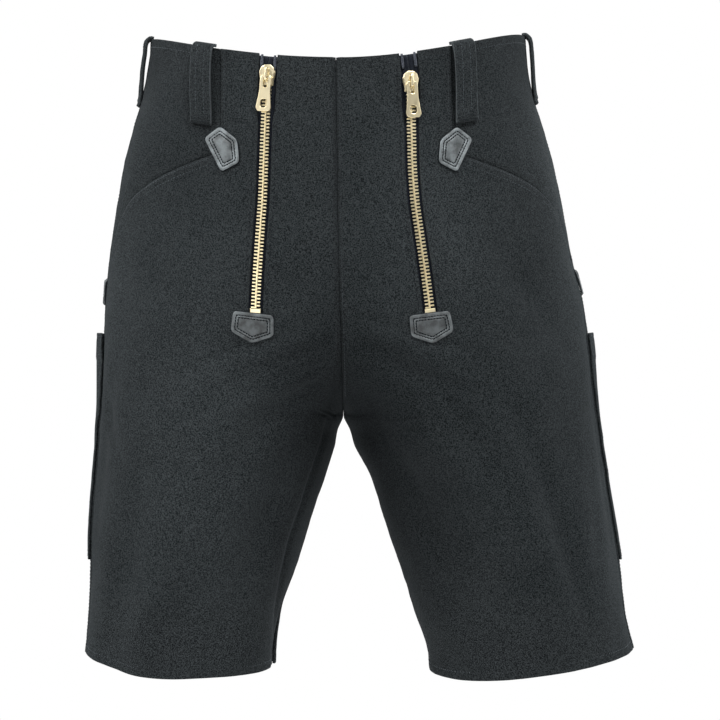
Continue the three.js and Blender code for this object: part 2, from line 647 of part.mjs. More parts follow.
function sliderBody() {
  const { up, down } = SLIDER_REACH;
  const outline = [[-6.2, 2], [-3.4, up], [3.4, up], [6.2, 2], [4.9, -4], [4.9, -down], [-4.9, -down], [-4.9, -4]];
  const bottom = TAPE_TOP + GAP + 0.15;
  const plate = new THREE.ExtrudeGeometry(shapeOf(rounded(outline, 1.2)), {
    depth: SLIDER_TOP - bottom - 1,
    bevelEnabled: true,
    bevelThickness: 0.5,
    bevelSize: 0.5,
    bevelOffset: -0.5,
    bevelSegments: 1,
  });
  plate.translate(0, 0, bottom + 0.5);
  const base = SLIDER_TOP - 0.4;
  const tall = BRIDGE.height + 0.4;
  const arch = shapeOf(rounded([[BRIDGE.down, 0], [BRIDGE.up, 0], [BRIDGE.up, tall], [BRIDGE.down, tall]], 1.6));
  const [low, high] = [BRIDGE.down + BRIDGE.wall, BRIDGE.up - BRIDGE.wall];
  const ceiling = tall - BRIDGE.wall;
  arch.holes.push(new THREE.Path(rounded([[low, 0.4], [low, ceiling], [high, ceiling], [high, 0.4]], 0.6)));
  const bridge = new THREE.ExtrudeGeometry(arch, { depth: BRIDGE.width, bevelEnabled: false });
  bridge.translate(0, 0, -BRIDGE.width / 2);
  bridge.applyMatrix4(new THREE.Matrix4().makeBasis(...["y", "z", "x"].map(unitAxis)));
  bridge.translate(0, 0, base);
  return fromManifold(toManifold(plate).add(toManifold(bridge)));
}

function unitAxis(name) {
  return new THREE.Vector3().setComponent("xyz".indexOf(name), 1);
}

// The pull hangs from its top bar, whose middle line is the pivot and the origin here.
function zipPull() {
  const bar = PULL_THICK / 2;
  const outline = [[-3.2, bar], [3.2, bar], [4.6, -1.5], [4.4, -12], [6.2, -25.5], [4.6, -28], [-4.6, -28], [-6.2, -25.5], [-4.4, -12], [-4.6, -1.5]];
  const pull = shapeOf(rounded(outline, 0.9));
  const slot = [[-PULL_SLOT_HALF, -bar], [-PULL_SLOT_HALF, -9.6], [PULL_SLOT_HALF, -9.6], [PULL_SLOT_HALF, -bar]];
  const eye = [[-2.6, -18.5], [-2.6, -24.8], [2.6, -24.8], [2.6, -18.5]];
  pull.holes.push(new THREE.Path(rounded(slot, 0.5)), new THREE.Path(rounded(eye, 2)));
  const geometry = new THREE.ExtrudeGeometry(pull, {
    depth: PULL_THICK - 0.6,
    bevelEnabled: true,
    bevelThickness: 0.3,
    bevelSize: 0.3,
    bevelOffset: -0.3,
    bevelSegments: 1,
  });
  return geometry.translate(0, 0, -PULL_THICK / 2 + 0.3);
}

// The frame of a zip's slider on the cloth.
function sliderFrame(side) {
  const z = SLIDER_Z[side];
  const at = (level) => clothPoint(side, frontTurnAt(side, zipLine(side, level), level), level);
  const origin = at(z);
  const along = at(z + 8).sub(at(z - 8)).normalize();
  const out = outwards(side, frontTurnAt(side, zipLine(side, z), z), z);
  const across = new THREE.Vector3().crossVectors(along, out).normalize();
  out.crossVectors(across, along);
  return new THREE.Matrix4().makeBasis(across, along, out).setPosition(origin);
}

// Materials
const finish = (color, roughness, metalness = 0) => new THREE.MeshStandardMaterial({ color, roughness, metalness });
const TWILL = finish(0x34393b, 0.92);
const TAPE_CLOTH = finish(0x16191f, 0.9);
const BLACK_LEATHER = finish(0x5d6365, 0.55);
const BRASS = finish(0xd9bf7c, 0.3, 1);

const shorts = new THREE.Group();

function add(name, geometry, material, frame) {
  const mesh = new THREE.Mesh(geometry, material);
  mesh.name = name;
  if (frame) {
    mesh.applyMatrix4(frame);
  }
  shorts.add(mesh);
}

function addZip(side) {
  add(`zip_shield_${side}`, zipShield(side), TWILL);
  add(`zip_tape_inner_${side}`, zipTape(side, -1), TAPE_CLOTH);
  add(`zip_tape_outer_${side}`, zipTape(side, 1), TAPE_CLOTH);
  add(`zip_chain_${side}`, zipChain(side), BRASS);
  add(`zip_stop_${side}`, zipStop(side), BRASS);
  const frame = sliderFrame(side);
  add(`zip_slider_${side}`, sliderBody(), BRASS, frame);
  const pivot = new THREE.Matrix4().makeTranslation(0, PULL_AXIS.y, PULL_AXIS.z);
  const droop = new THREE.Matrix4().makeRotationX(PULL_DROOP * DEGREE);
  const lean = new THREE.Matrix4().makeRotationZ(PULL_LEAN[side] * DEGREE);
  add(`zip_pull_${side}`, zipPull(), BRASS, frame.clone().multiply(pivot).multiply(droop).multiply(lean));
}

// Front loops: distance from the middle line at the waist edge and at the loop's lower end.
const LOOP_X = { right: { top: 104.5, low: 107.5 }, left: { top: 99.5, low: 103.5 } };
const LOOP_DROP = 62.5;
const SIDE_LOOP_TURN = -5 * DEGREE;

// The turn of a front loop's middle at a height above the waist edge.
function frontLoopTurn(side, rise) {
  const { top, low } = LOOP_X[side];
  const edge = waistLine(side, frontTurnAt(side, top, ZIP_TOP_Z));
  return frontTurnAt(side, top + ((low - top) * -rise) / LOOP_DROP, edge + rise);
}

for (const side of Object.keys(SIDES)) {
  add(`front_${side}`, frontPanel(side), TWILL);
  add(`hip_${side}`, hipPanel(side), TWILL);
  add(`back_${side}`, backPanel(side), TWILL);
  addZip(side);
  add(`zip_tip_${side}`, zipTip(side), BLACK_LEATHER);
  add(`pocket_tip_${side}`, pocketTip(side), BLACK_LEATHER);
  add(`side_tip_${side}`, sideTip(side), BLACK_LEATHER);
  add(`rule_pocket_${side}`, rulePocket(side), TWILL);
  add(`belt_loop_front_${side}`, beltLoop(side, (rise) => frontLoopTurn(side, rise), LOOP_PATH.front), TWILL);
  add(`belt_loop_side_${side}`, beltLoop(side, () => SIDE_LOOP_TURN, LOOP_PATH.side), TWILL);
}
add("belt_loop_back", backLoop(), TWILL);

export default shorts;
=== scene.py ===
import json
import math

import bmesh
import bpy
import numpy as np
from bpy.props import FloatProperty, FloatVectorProperty, PointerProperty
from mathutils import Matrix, Vector


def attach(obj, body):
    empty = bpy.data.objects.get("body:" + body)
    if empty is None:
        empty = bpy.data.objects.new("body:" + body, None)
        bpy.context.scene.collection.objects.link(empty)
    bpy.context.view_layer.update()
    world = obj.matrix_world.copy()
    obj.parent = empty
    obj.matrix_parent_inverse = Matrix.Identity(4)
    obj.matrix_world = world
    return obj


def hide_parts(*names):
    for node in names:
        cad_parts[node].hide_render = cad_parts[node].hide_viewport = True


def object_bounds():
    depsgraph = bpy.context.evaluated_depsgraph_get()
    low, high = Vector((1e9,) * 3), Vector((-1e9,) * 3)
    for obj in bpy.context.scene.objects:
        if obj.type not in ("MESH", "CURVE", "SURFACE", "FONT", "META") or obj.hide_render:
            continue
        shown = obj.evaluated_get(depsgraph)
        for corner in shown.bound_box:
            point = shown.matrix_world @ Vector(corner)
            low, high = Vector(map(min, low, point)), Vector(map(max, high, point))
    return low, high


bl_info = {
    "name": "Bermuda work shorts",
    "version": (1, 0, 0),
    "blender": (4, 5, 0),
    "location": "View3D > Sidebar > Shorts",
    "description": "Sews the cloth, zips, leather tips and stitching of heavy work shorts",
    "category": "Add Mesh",
}

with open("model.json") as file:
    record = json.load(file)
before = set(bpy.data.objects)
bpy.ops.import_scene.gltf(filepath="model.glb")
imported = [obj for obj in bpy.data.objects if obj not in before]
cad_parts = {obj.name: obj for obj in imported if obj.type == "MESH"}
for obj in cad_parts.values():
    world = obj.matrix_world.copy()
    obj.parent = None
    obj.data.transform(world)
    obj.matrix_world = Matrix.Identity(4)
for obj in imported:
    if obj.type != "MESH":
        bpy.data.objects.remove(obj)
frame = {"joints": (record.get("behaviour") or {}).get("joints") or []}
cad_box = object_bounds()

# Sizes are in millimetres until a mesh is placed. +X is the wearer's left, -Y the front and +Z up.
MM = 0.001
DEGREE = math.pi / 180
SIDES = {"right": -1, "left": 1}
SEAM_GAP = 0.3
ROUNDNESS = 2.2
CROTCH_Z = -316
SEAT_TOP_Z = -110
FORK_EASE = 1.3
FORK_POWER = 1.9
CAMERA_POSITION = (19.1, -1700, -269.5)
CAMERA_LENS = 100

# Depth of the front and the back from the middle plane, and the shift of the middle line.
BODY_COLUMNS = ("z", "front", "back", "middle")
BODY = [
    (20, 112, 115, 0),
    (0, 114, 120, 0),
    (-33, 116, 124, 0),
    (-75, 121, 131, 0.5),
    (-112, 125, 139, 1),
    (-150, 128, 145, 1.5),
    (-190, 129, 147, 2.3),
    (-227, 127, 143, 3.2),
    (-265, 122, 134, 4.5),
    (-316, 113, 119, 5),
    (-367, 104, 106, 5),
    (-405, 98, 98, 5),
    (-444, 91, 91, 5),
    (-482, 86, 87, 5),
    (-545, 80, 82, 5),
]

# Outer and inner edge of each half, from the middle line.
HALF_COLUMNS = ("z", "right outer", "right inner", "left outer", "left inner")
HALF = [
    (20, 157, 0, 157, 0),
    (0, 157.5, 0, 158.5, 0),
    (-25, 160.5, 0, 160.5, 0),
    (-50, 165, 0, 166, 0),
    (-75, 172, 0, 174, 0),
    (-112, 182, 0, 183.5, 0),
    (-150, 189, 0, 191, 0),
    (-190, 195, 0, 197, 0),
    (-227, 199.5, 0, 205, 0),
    (-265, 203.5, 0, 209.5, 0),
    (-316, 206.5, 0, 214, 0),
    (-329, 208, 5, 216, 6),
    (-342, 208.5, 7.5, 218, 10),
    (-367, 210, 15, 222, 23),
    (-405, 212.5, 27.5, 229, 35.5),
    (-444, 214.5, 39, 235, 48),
    (-482, 216, 52, 239, 60),
    (-516, 218, 56.5, 246, 71.5),
    (-545, 219, 58, 250, 75),
]

# Main folds: turn, z, lean, long, wide, depth. turn is in degrees round a half from its side, - to the
# front and + to the back, lean the turn over the fold's length, wide in degrees, and depth - for a trough.
FOLDS = {
    "right": [
        (-24, -400, -6, 95, 13, -2.6),
        (-70, -420, 4, 110, 22, 2.4),
        (-112, -322, -22, 44, 17, -2.2),
        (-60, -235, 14, 55, 12, -1.6),
        (62, -262, -30, 40, 12, -3.2),
        (98, -300, -34, 42, 13, -3.4),
        (70, -410, 8, 90, 20, 2.8),
        (120, -400, 10, 80, 15, -2.4),
    ],
    "left": [
        (-52, -345, 10, 90, 13, -3.4),
        (-82, -420, -8, 110, 18, 2.6),
        (-34, -245, -8, 60, 11, -2.6),
        (-116, -312, -24, 46, 17, -2.4),
        (-26, -440, 6, 80, 12, -2.2),
        (58, -255, -28, 42, 12, -3),
        (94, -292, -32, 40, 13, -3.4),
        (74, -420, -8, 90, 20, 2.8),
        (124, -395, 12, 80, 15, -2.4),
    ],
}

# Finer creases, which the solids leave out. All of their depths are multiplied by CREASE_DEPTH.
CREASE_DEPTH = 1.5
CREASES = {
    "right": [
        (-84, -400, -12, 110, 13, 3.4),
        (-58, -450, -4, 90, 9, -3.6),
        (-128, -390, -10, 90, 13, -5),
        (-110, -262, -24, 34, 7, -2.2),
        (-31, -320, -4, 60, 7, -1.6),
        (-122, -300, -14, 30, 7, -1.6),
        (-38, -330, 18, 46, 5, -1.3),
        (-48, -470, -5, 60, 6, -1.2),
        (-96, -370, -18, 50, 7, -1.5),
        (-104, -288, -26, 30, 5, -1.4),
        (-84, -262, -20, 26, 5, -1.1),
        (-125, -440, -8, 60, 7, -1.2),
        (-30, -190, 6, 40, 5, -0.9),
        (-14, -300, 3, 60, 4, -1.0),
        (-44, -150, 10, 22, 5, -0.7),
        (-88, -500, 6, 30, 6, 0.9),
        (40, -300, 10, 60, 6, -1.4),
        (84, -345, -14, 46, 6, -1.6),
        (108, -262, -26, 26, 6, -1.5),
        (50, -460, -6, 60, 7, -1.3),
        (96, -470, 8, 50, 8, -1.4),
        (30, -120, 5, 40, 5, -0.8),
        (76, -60, -4, 22, 5, -0.8),
    ],
    "left": [
        (-48, -215, -9, 48, 7, -2.2),
        (-89, -342, -14, 80, 8, -4.2),
        (-65, -395, -8, 100, 7, -3.6),
        (-108, -352, -14, 70, 9, 3),
        (-80, -380, -13, 90, 7, 2.8),
        (-132, -375, -12, 80, 12, -4.6),
        (-112, -258, -24, 34, 7, -2.4),
        (-66, -300, 16, 42, 6, -1.5),
        (-40, -400, 6, 60, 5, -1.4),
        (-100, -390, -16, 56, 7, -1.5),
        (-108, -275, -26, 28, 5, -1.4),
        (-90, -250, -18, 22, 5, -1.1),
        (-70, -480, -5, 46, 6, -1.2),
        (-128, -450, -8, 56, 7, -1.2),
        (-20, -330, 3, 70, 4, -1.2),
        (-46, -170, 10, 26, 5, -0.8),
        (-30, -500, 4, 30, 6, 0.9),
        (44, -310, 8, 56, 6, -1.4),
        (80, -350, -14, 50, 6, -1.6),
        (104, -255, -24, 26, 6, -1.5),
        (54, -470, -5, 56, 7, -1.3),
        (98, -460, 8, 50, 8, -1.4),
        (34, -130, 6, 40, 5, -0.8),
        (80, -55, -4, 22, 5, -0.8),
    ],
}

# Soft unevenness of the cloth: size of the ripples, their height and the seed of their pattern.
RIPPLES = [(64, 1.0, 1), (27, 0.4, 2), (11, 0.12, 3)]

# The right leg's inseam lies a little to the front: its distance from the middle line at each level.
SHOWN_INSEAM_COLUMNS = ("z", "x")
SHOWN_INSEAM = [(-278, 0), (-302, 7), (-334, 14.5), (-383, 30.5), (-428, 45), (-480, 54), (-520, 57)]

WAIST = {"right": (0, 29.6, 2.1), "left": (2.5, 32.2, 2.6)}  # side level, drop to the front, power
HEM = {"right": (-515, -527.6, 12, 90), "left": (-511.5, -532, 4, 140)}  # outside, inside, from, to
ZIP_TOP_Z = -30
ZIP_BOTTOM_Z = -235
ZIP_LINE_COLUMNS = ("z", "right", "left")  # distance from the middle line of the body
ZIP_LINE = [
    (-24, 53.4, 57.2),
    (-42, 54.4, 59.1),
    (-78, 56.4, 59.3),
    (-110, 57.9, 59.4),
    (-141, 59.2, 60.9),
    (-167, 61.4, 63.9),
    (-192, 63.6, 67),
    (-218, 65.7, 69.9),
    (-240, 67.2, 71.9),
]
ZIP_CHAIN_HALF = 3.6
ZIP_SLOT = (5.9, 7.4, -84, -66)  # half width at the chain and at the slider, and where it changes
HIP_SEAM_X = 92
POCKET_TOP_Z = -104
POCKET_SLOPE = 44
POCKET_CURL = 56
POCKET_CURL_POWER = 6
POCKET_SPAN = 125  # width of the pocket mouth
FRONT_SEAM_TOP_Z = -276  # where the right inseam starts to show on the front
NO_SEAM = 999.0  # a distance beyond the reach of every seam


def clamp(v, lo=0.0, hi=1.0):
    return np.minimum(np.maximum(v, lo), hi)


def mix(a, b, t):
    return a + (b - a) * t


def ease(t):
    s = clamp(t)
    return s * s * (3 - 2 * s)


def bell(distance, width):
    return np.exp(-((distance / width) ** 2))


def curve_through(table, columns, name):
    """A smooth curve through one column of a table, with no overshoot between its rows."""
    rows = sorted(table)
    z = np.array([row[0] for row in rows], float)
    v = np.array([row[columns.index(name)] for row in rows], float)
    chord = np.diff(v) / np.diff(z)
    below, above = chord[:-1], chord[1:]
    rising = below * above > 0
    inner = np.where(rising, 2 * below * above / np.where(rising, below + above, 1), 0)
    slope = np.concatenate([chord[:1], inner, chord[-1:]])

    def at(level):
        level = clamp(level, z[0], z[-1])
        i = np.clip(np.searchsorted(z, level) - 1, 0, len(z) - 2)
        width = z[i + 1] - z[i]
        t = (level - z[i]) / width
        t2, t3 = t * t, t * t * t
        ends = (2 * t3 - 3 * t2 + 1) * v[i] + (3 * t2 - 2 * t3) * v[i + 1]
        return ends + width * ((t3 - 2 * t2 + t) * slope[i] + (t3 - t2) * slope[i + 1])

    return at


body_front, body_back, body_middle = (curve_through(BODY, BODY_COLUMNS, name) for name in BODY_COLUMNS[1:])
outer_edge = {side: curve_through(HALF, HALF_COLUMNS, f"{side} outer") for side in SIDES}
inner_edge = {side: curve_through(HALF, HALF_COLUMNS, f"{side} inner") for side in SIDES}
shown_inseam = curve_through(SHOWN_INSEAM, SHOWN_INSEAM_COLUMNS, "x")
zip_lines = {side: curve_through(ZIP_LINE, ZIP_LINE_COLUMNS, side) for side in SIDES}


def section(side, z):
    """Axis, outward and inward reach, depth to the front and back, and middle line of a half at a level."""
    outer, inner = outer_edge[side](z), inner_edge[side](z)
    rise = clamp((z - CROTCH_Z) / (SEAT_TOP_Z - CROTCH_Z))
    fork = np.maximum((1 - rise**FORK_EASE) ** FORK_POWER, 0.02)
    axis = fork * (outer + inner) / 2
    return axis, outer - axis, (outer - inner) / 2 / fork, body_front(z), body_back(z), body_middle(z)


def partner(share):
    return (1 - clamp(np.abs(share)) ** ROUNDNESS) ** (1 / ROUNDNESS)


def front_turn_at(side, x, z):
    """The turn at which the front of a half stands x from the middle line."""
    axis, outward, inward = section(side, z)[:3]
    share = (x - axis) / np.where(x > axis, outward, inward)
    return -np.arctan2(partner(share), share)


def end_turns(side, z):
    axis, _, inward, front, back, _ = section(side, z)
    share = np.minimum(axis / inward, 1)
    full = np.arctan2(partner(share), -share)
    return -np.minimum(full, math.pi - SEAM_GAP / 2 / front), np.minimum(full, math.pi - SEAM_GAP / 2 / back)


def side_seam_turn(z):
    return mix(-8, -14, ease((-150 - z) / 110)) * DEGREE


def fold_height(side, turn, z, table):
    height = np.zeros(np.broadcast(turn, z).shape)
    for at_turn, at_z, lean, length, wide, depth in table[side]:
        along = (z - at_z) / length
        across = (turn / DEGREE - at_turn - lean * along) / wide
        height += depth * np.exp(-along * along - across * across)
    return height


def ripple(points, size, seed):
    """Smooth repeatable unevenness from -1 to 1, with bumps of about the given size."""
    q = points / size + seed * 17.31
    cell = np.floor(q).astype(np.int64)
    f = q - cell
    f = f * f * f * (f * (6 * f - 15) + 10)
    total = np.zeros(points.shape[:-1])
    for corner in np.ndindex(2, 2, 2):
        n = cell + np.array(corner)
        mixed = (n[..., 0] * 73856093) ^ (n[..., 1] * 19349663) ^ (n[..., 2] * 83492791) ^ (seed * 26544357)
        mixed = (mixed * 1103515245 + 12345) & 0x7FFFFFFF
        mixed = ((mixed >> 7) * 69069 + 1) & 0x7FFFFFFF
        weight = np.prod(np.where(np.array(corner) == 1, f, 1 - f), axis=-1)
        total += weight * (mixed / 0x3FFFFFFF - 1)
    return total


def smooth_point(side, turn, z):
    """A point of the garment's plain form, with no folds."""
    axis, outward, inward, front, back, middle = section(side, z)
    c, q = np.cos(turn), np.sin(turn)
    r = (np.abs(c) ** ROUNDNESS + np.abs(q) ** ROUNDNESS) ** (-1 / ROUNDNESS)
    across = axis + np.where(c >= 0, outward, inward) * r * c
    deep = np.where(q < 0, front, back) * r * q
    return np.stack(np.broadcast_arrays(middle + SIDES[side] * across, deep, z), axis=-1)


def unit(v):
    return v / np.maximum(np.linalg.norm(v, axis=-1, keepdims=True), 1e-9)


def outwards(side, turn, z, base):
    """Directions straight out of the plain form. At the centre seams they keep to the middle plane."""
    step, lift = 0.008, 1.2
    round_ = smooth_point(side, turn + step, z) - smooth_point(side, turn - step, z)
    up = smooth_point(side, turn, z + lift) - smooth_point(side, turn, z - lift)
    out = np.cross(round_, up) * SIDES[side]
    near = ease(np.abs(base[..., 0] - body_middle(z)) / 14)
    out[..., 0] *= mix(1, near, ease((z - CROTCH_Z + 25) / 25))
    return unit(out)


def zip_line(side, z):
    return zip_lines[side](z)


def zip_slot_half(z):
    chain, slider, narrow, wide = ZIP_SLOT
    return mix(chain, slider, ease((z - narrow) / (wide - narrow)))


def pocket_line(t):
    return POCKET_TOP_Z - POCKET_SLOPE * t - POCKET_CURL * t**POCKET_CURL_POWER


def pocket_stretch(t):
    """How much further below the slanted pocket mouth a row lies than its distance from it."""
    slope = (POCKET_SLOPE + POCKET_CURL * POCKET_CURL_POWER * t ** (POCKET_CURL_POWER - 1)) / POCKET_SPAN
    return np.sqrt(1 + slope**2)


def waist_line(side, turn):
    level, drop, power = WAIST[side]
    return level - np.where(turn < 0, drop * np.abs(np.sin(turn)) ** power, level * np.sin(turn) ** 2)


def hem_line(side, turn):
    outside, inside, start, end = HEM[side]
    return mix(outside, inside, ease((np.abs(turn) / DEGREE - start) / (end - start)))


def span_per_turn(side, turn, z, step=0.008):
    """Millimetres round the cloth for each radian of turn."""
    ahead, behind = smooth_point(side, turn + step, z), smooth_point(side, turn - step, z)
    return np.linalg.norm(ahead - behind, axis=-1) / (2 * step)


def seam_marks(side, turn, z, base):
    """Distances in millimetres from the seams and edges that shape the cloth next to them."""
    metric = span_per_turn(side, turn, z)
    x = (base[..., 0] - body_middle(z)) * SIDES[side]
    front = turn < 0
    first, last = end_turns(side, z)
    seam_turn = side_seam_turn(z)
    hip_turn = front_turn_at(side, HIP_SEAM_X, z)
    t = clamp((turn - hip_turn) / np.maximum(seam_turn - hip_turn, 0.05))
    in_pocket_span = front & (turn > hip_turn - 0.02) & (turn < seam_turn + 0.02)
    marks = {
        "centre": (z > CROTCH_Z, np.abs(x)),
        "inseam": (z < CROTCH_Z + 20, np.minimum(turn - first, last - turn) * metric),
        "shown": (front & (z < FRONT_SEAM_TOP_Z) & (side == "right"), x - shown_inseam(z)),
        "side": (True, (turn - seam_turn) * metric),
        "hem": (True, z - hem_line(side, turn)),
        "waist": (True, waist_line(side, turn) - z),
        "zip": (front & (z > ZIP_BOTTOM_Z - 12), np.abs(x - zip_line(side, z))),
        "hip": (front & (z > POCKET_TOP_Z - 6), HIP_SEAM_X - x),
        "mouth": (in_pocket_span, (pocket_line(t) - z) / pocket_stretch(t)),
    }
    return {name: np.where(there, distance, NO_SEAM) for name, (there, distance) in marks.items()}


# Where pulled stitches pucker the cloth: the seam, the distance from it, and how wide and how much.
PUCKERS = [
    ("side", 0, 9, 1),
    ("inseam", 0, 10, 1),
    ("hem", 6, 7, 1),
    ("mouth", 4, 7, 1),
    ("centre", 0, 9, 0.7),
    ("zip", 9, 5, 0.5),
]

# Seams whose edges roll in: how wide and how deep.
EDGE_ROLLS = [
    ("side", 1.3, 0.9),
    ("inseam", 1.5, 1.0),
    ("centre", 2, 2.0),
    ("shown", 1.7, 2.2),
    ("shown", 6, 0.8),
    ("mouth", 1.4, 1.2),
    ("hip", 1.3, 0.7),
]

# Where turned-in cloth stands up under a sewn line: from, over, to, over, and how high.
RIDGES = [
    ("side", -0.5, 2, 8.5, 2.5, 0.45),
    ("mouth", -1, 1.5, 8, 2.5, 0.35),
    ("hem", -1, 1.5, 7.2, 2, 0.35),
    ("waist", -1, 1.5, 7.5, 2, 0.3),
]

# Rows of stitches that sink into the cloth: the seam or edge, the distance from it, how wide and how deep.
SEWN_LINES = [
    ("side", 2.2, 0.9, 0.22),
    ("side", 7.6, 0.9, 0.22),
    ("mouth", 2, 0.9, 0.22),
    ("mouth", 7, 0.9, 0.22),
    ("hem", 6.6, 0.9, 0.22),
    ("waist", 6.8, 0.9, 0.22),
    ("hip", 2.6, 1.1, 0.7),
]


FOLD_FADE = 30  # the folds fade out this near to the middle plane
ZIP_CALM = (0.85, 20)  # how much of the creases is missing at a zip, and how far round it
PUCKER = (0.34, 7.5, 5)  # height, size and seed


def cloth_height(side, turn, z, base):
    """Height of the cloth over its plain form: folds, creases, ripples and what the sewing does to it."""
    marks = seam_marks(side, turn, z, base)
    away = ease(np.abs(base[..., 0] - body_middle(z)) / FOLD_FADE)
    height = fold_height(side, turn, z, FOLDS) * away
    crisp = CREASE_DEPTH * fold_height(side, turn, z, CREASES) * away
    for size, tall, seed in RIPPLES:
        crisp = crisp + tall * ripple(base, size, seed)
    calm, round_zip = ZIP_CALM
    height = height + crisp * (1 - calm * bell(marks["zip"], round_zip))
    sewn = sum(much * bell(marks[name] - at, wide) for name, at, wide, much in PUCKERS)
    tall, size, seed = PUCKER
    height = height + tall * ripple(base, size, seed) * clamp(sewn, 0, 1.2)
    for name, wide, deep in EDGE_ROLLS:
        height = height - deep * bell(marks[name], wide)
    for name, start, rise, end, fall, tall in RIDGES:
        height = height + tall * (ease((marks[name] - start) / rise) - ease((marks[name] - end) / fall))
    for name, at, wide, deep in SEWN_LINES:
        height = height - deep * bell(marks[name] - at, wide)
    return height


def on_cloth(side, turn, z, lift=0.0):
    """A point of the finished cloth's outer face, or at a height above it, on its own side of the middle."""
    turn, z = np.broadcast_arrays(np.asarray(turn, float), np.asarray(z, float))
    base = smooth_point(side, turn, z)
    out = outwards(side, turn, z, base)
    height = cloth_height(side, turn, z, base) + lift
    point = base + out * height[..., None]
    middle = body_middle(z)
    away = np.maximum((point[..., 0] - middle) * SIDES[side], SEAM_GAP / 2)
    point[..., 0] = middle + away * SIDES[side]
    return point


def turn_beside(side, turn, z, distance):
    """The turn a distance round the cloth, positive towards +X on the front."""
    return turn_after(side, turn, z, SIDES[side] * distance)


def turn_after(side, turn, z, distance):
    """The turn a distance round the cloth, positive from the front towards the back."""
    return turn + distance / span_per_turn(side, turn, z)


def steps_between(values, spacing):
    """Every value of a list with evenly spread ones between, no further apart than spacing."""
    out = [values[0]]
    for a, b in zip(values, values[1:]):
        count = max(1, int(math.ceil(abs(b - a) / spacing)))
        out += [a + (b - a) * (i + 1) / count for i in range(count)]
    return np.array(out)


def with_fine_ends(length, spacing, ends=(0.5, 1.1, 2.0, 3.2)):
    """Shares from 0 to 1 along a length in millimetres, closer together at both ends."""
    low = [0.0] + [e for e in ends if e < length / 3]
    high = [length - e for e in reversed(low)]
    middle = steps_between([low[-1], high[0]], spacing)[1:-1]
    return np.array(low + list(middle) + high) / length


# Meshes


def link_piece(name, mesh, finish, smooth=True):
    """A mesh as an object of the scene; where smooth is None, its faces keep the shading that they have."""
    mesh.materials.append(bpy.data.materials[finish])
    if smooth is not None:
        mesh.polygons.foreach_set("use_smooth", [smooth] * len(mesh.polygons))
    piece = bpy.data.objects.new(name, mesh)
    bpy.context.scene.collection.objects.link(piece)
    return piece


def finish_piece(name, bm, finish, smooth=True):
    mesh = bpy.data.meshes.new(name)
    bm.to_mesh(mesh)
    bm.free()
    return link_piece(name, mesh, finish, smooth)


def woven_grid(points, keep=None, outward=None):
    """A bmesh grid moved to rows and columns of points, in metres, with faces turned outward."""
    rows, cols = points.shape[:2]
    bm = bmesh.new()
    bmesh.ops.create_grid(bm, x_segments=cols - 1, y_segments=rows - 1, size=0.5)
    bm.verts.ensure_lookup_table()
    for vert, place in zip(bm.verts, (points.reshape(-1, 3) * MM).tolist()):
        vert.co = place
    uv = bm.loops.layers.uv.new("cloth")
    run = np.linalg.norm(np.diff(points, axis=1), axis=-1)
    across = np.concatenate([np.zeros((rows, 1)), np.cumsum(run, axis=1)], axis=1) * MM
    rise = np.linalg.norm(np.diff(points, axis=0), axis=-1)
    along = np.concatenate([np.zeros((1, cols)), np.cumsum(rise, axis=0)], axis=0) * MM
    u, v = across.reshape(-1).tolist(), along.reshape(-1).tolist()
    for face in bm.faces:
        for loop in face.loops:
            loop[uv].uv = (u[loop.vert.index], v[loop.vert.index])
    if keep is not None:
        gone = []
        for face in bm.faces:
            first = min(vert.index for vert in face.verts)
            if not keep[first // cols, first % cols]:
                gone.append(face)
        bmesh.ops.delete(bm, geom=gone, context="FACES")
        bmesh.ops.delete(bm, geom=[v for v in bm.verts if not v.link_faces], context="VERTS")
    bm.normal_update()
    if outward is not None:
        agree = sum(f.normal.dot(Vector(outward)) for f in bm.faces)
        if agree < 0:
            bmesh.ops.reverse_faces(bm, faces=bm.faces[:])
    return bm


def thicken(piece, thickness, offset=-1.0):
    solid = piece.modifiers.new("Thickness", "SOLIDIFY")
    solid.thickness = thickness * MM
    solid.offset = offset
    solid.use_even_offset = True
    return piece


def settle(piece, slot, *nodes, body="shorts"):
    """Ties a piece to its body and hides the nodes that it stands for. Its record slot is not used."""
    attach(piece, body)
    if nodes:
        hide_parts(*nodes)
    return piece


def sew(name, bm, cut, *nodes, cloth="Black moleskin", thickness=None, offset=-1.0, slot="black_twill"):
    """A cloth piece with its thickness and nodes. Its cut, width, length and, where given, area, is not
    used.
    """
    piece = finish_piece(name, bm, cloth)
    thicken(piece, thickness or sizes().cloth, offset)
    settle(piece, slot, *nodes)
    return piece


def scatter(name, template, frames, finish, smooth=True):
    """One mesh with a copy of a small bmesh shape at every frame, which is an origin and three axes."""
    template.verts.ensure_lookup_table()
    shape = np.array([v.co for v in template.verts])
    faces = [[v.index for v in f.verts] for f in template.faces]
    origins, axes = frames
    points = np.einsum("vk,nkc->nvc", shape, axes) + origins[:, None, :]
    count = len(shape)
    mesh = bpy.data.meshes.new(name)
    every = [[i + n * count for i in face] for n in range(len(origins)) for face in faces]
    mesh.from_pydata((points.reshape(-1, 3) * MM).tolist(), [], every)
    mesh.update()
    return link_piece(name, mesh, finish, smooth)


def thread_bead(length, width, height):
    bm = bmesh.new()
    bmesh.ops.create_uvsphere(bm, u_segments=6, v_segments=4, radius=0.5)
    for vert in bm.verts:
        x, y, z = vert.co
        vert.co = (z * length, x * width, y * height)
    bmesh.ops.recalc_face_normals(bm, faces=bm.faces[:])
    return bm


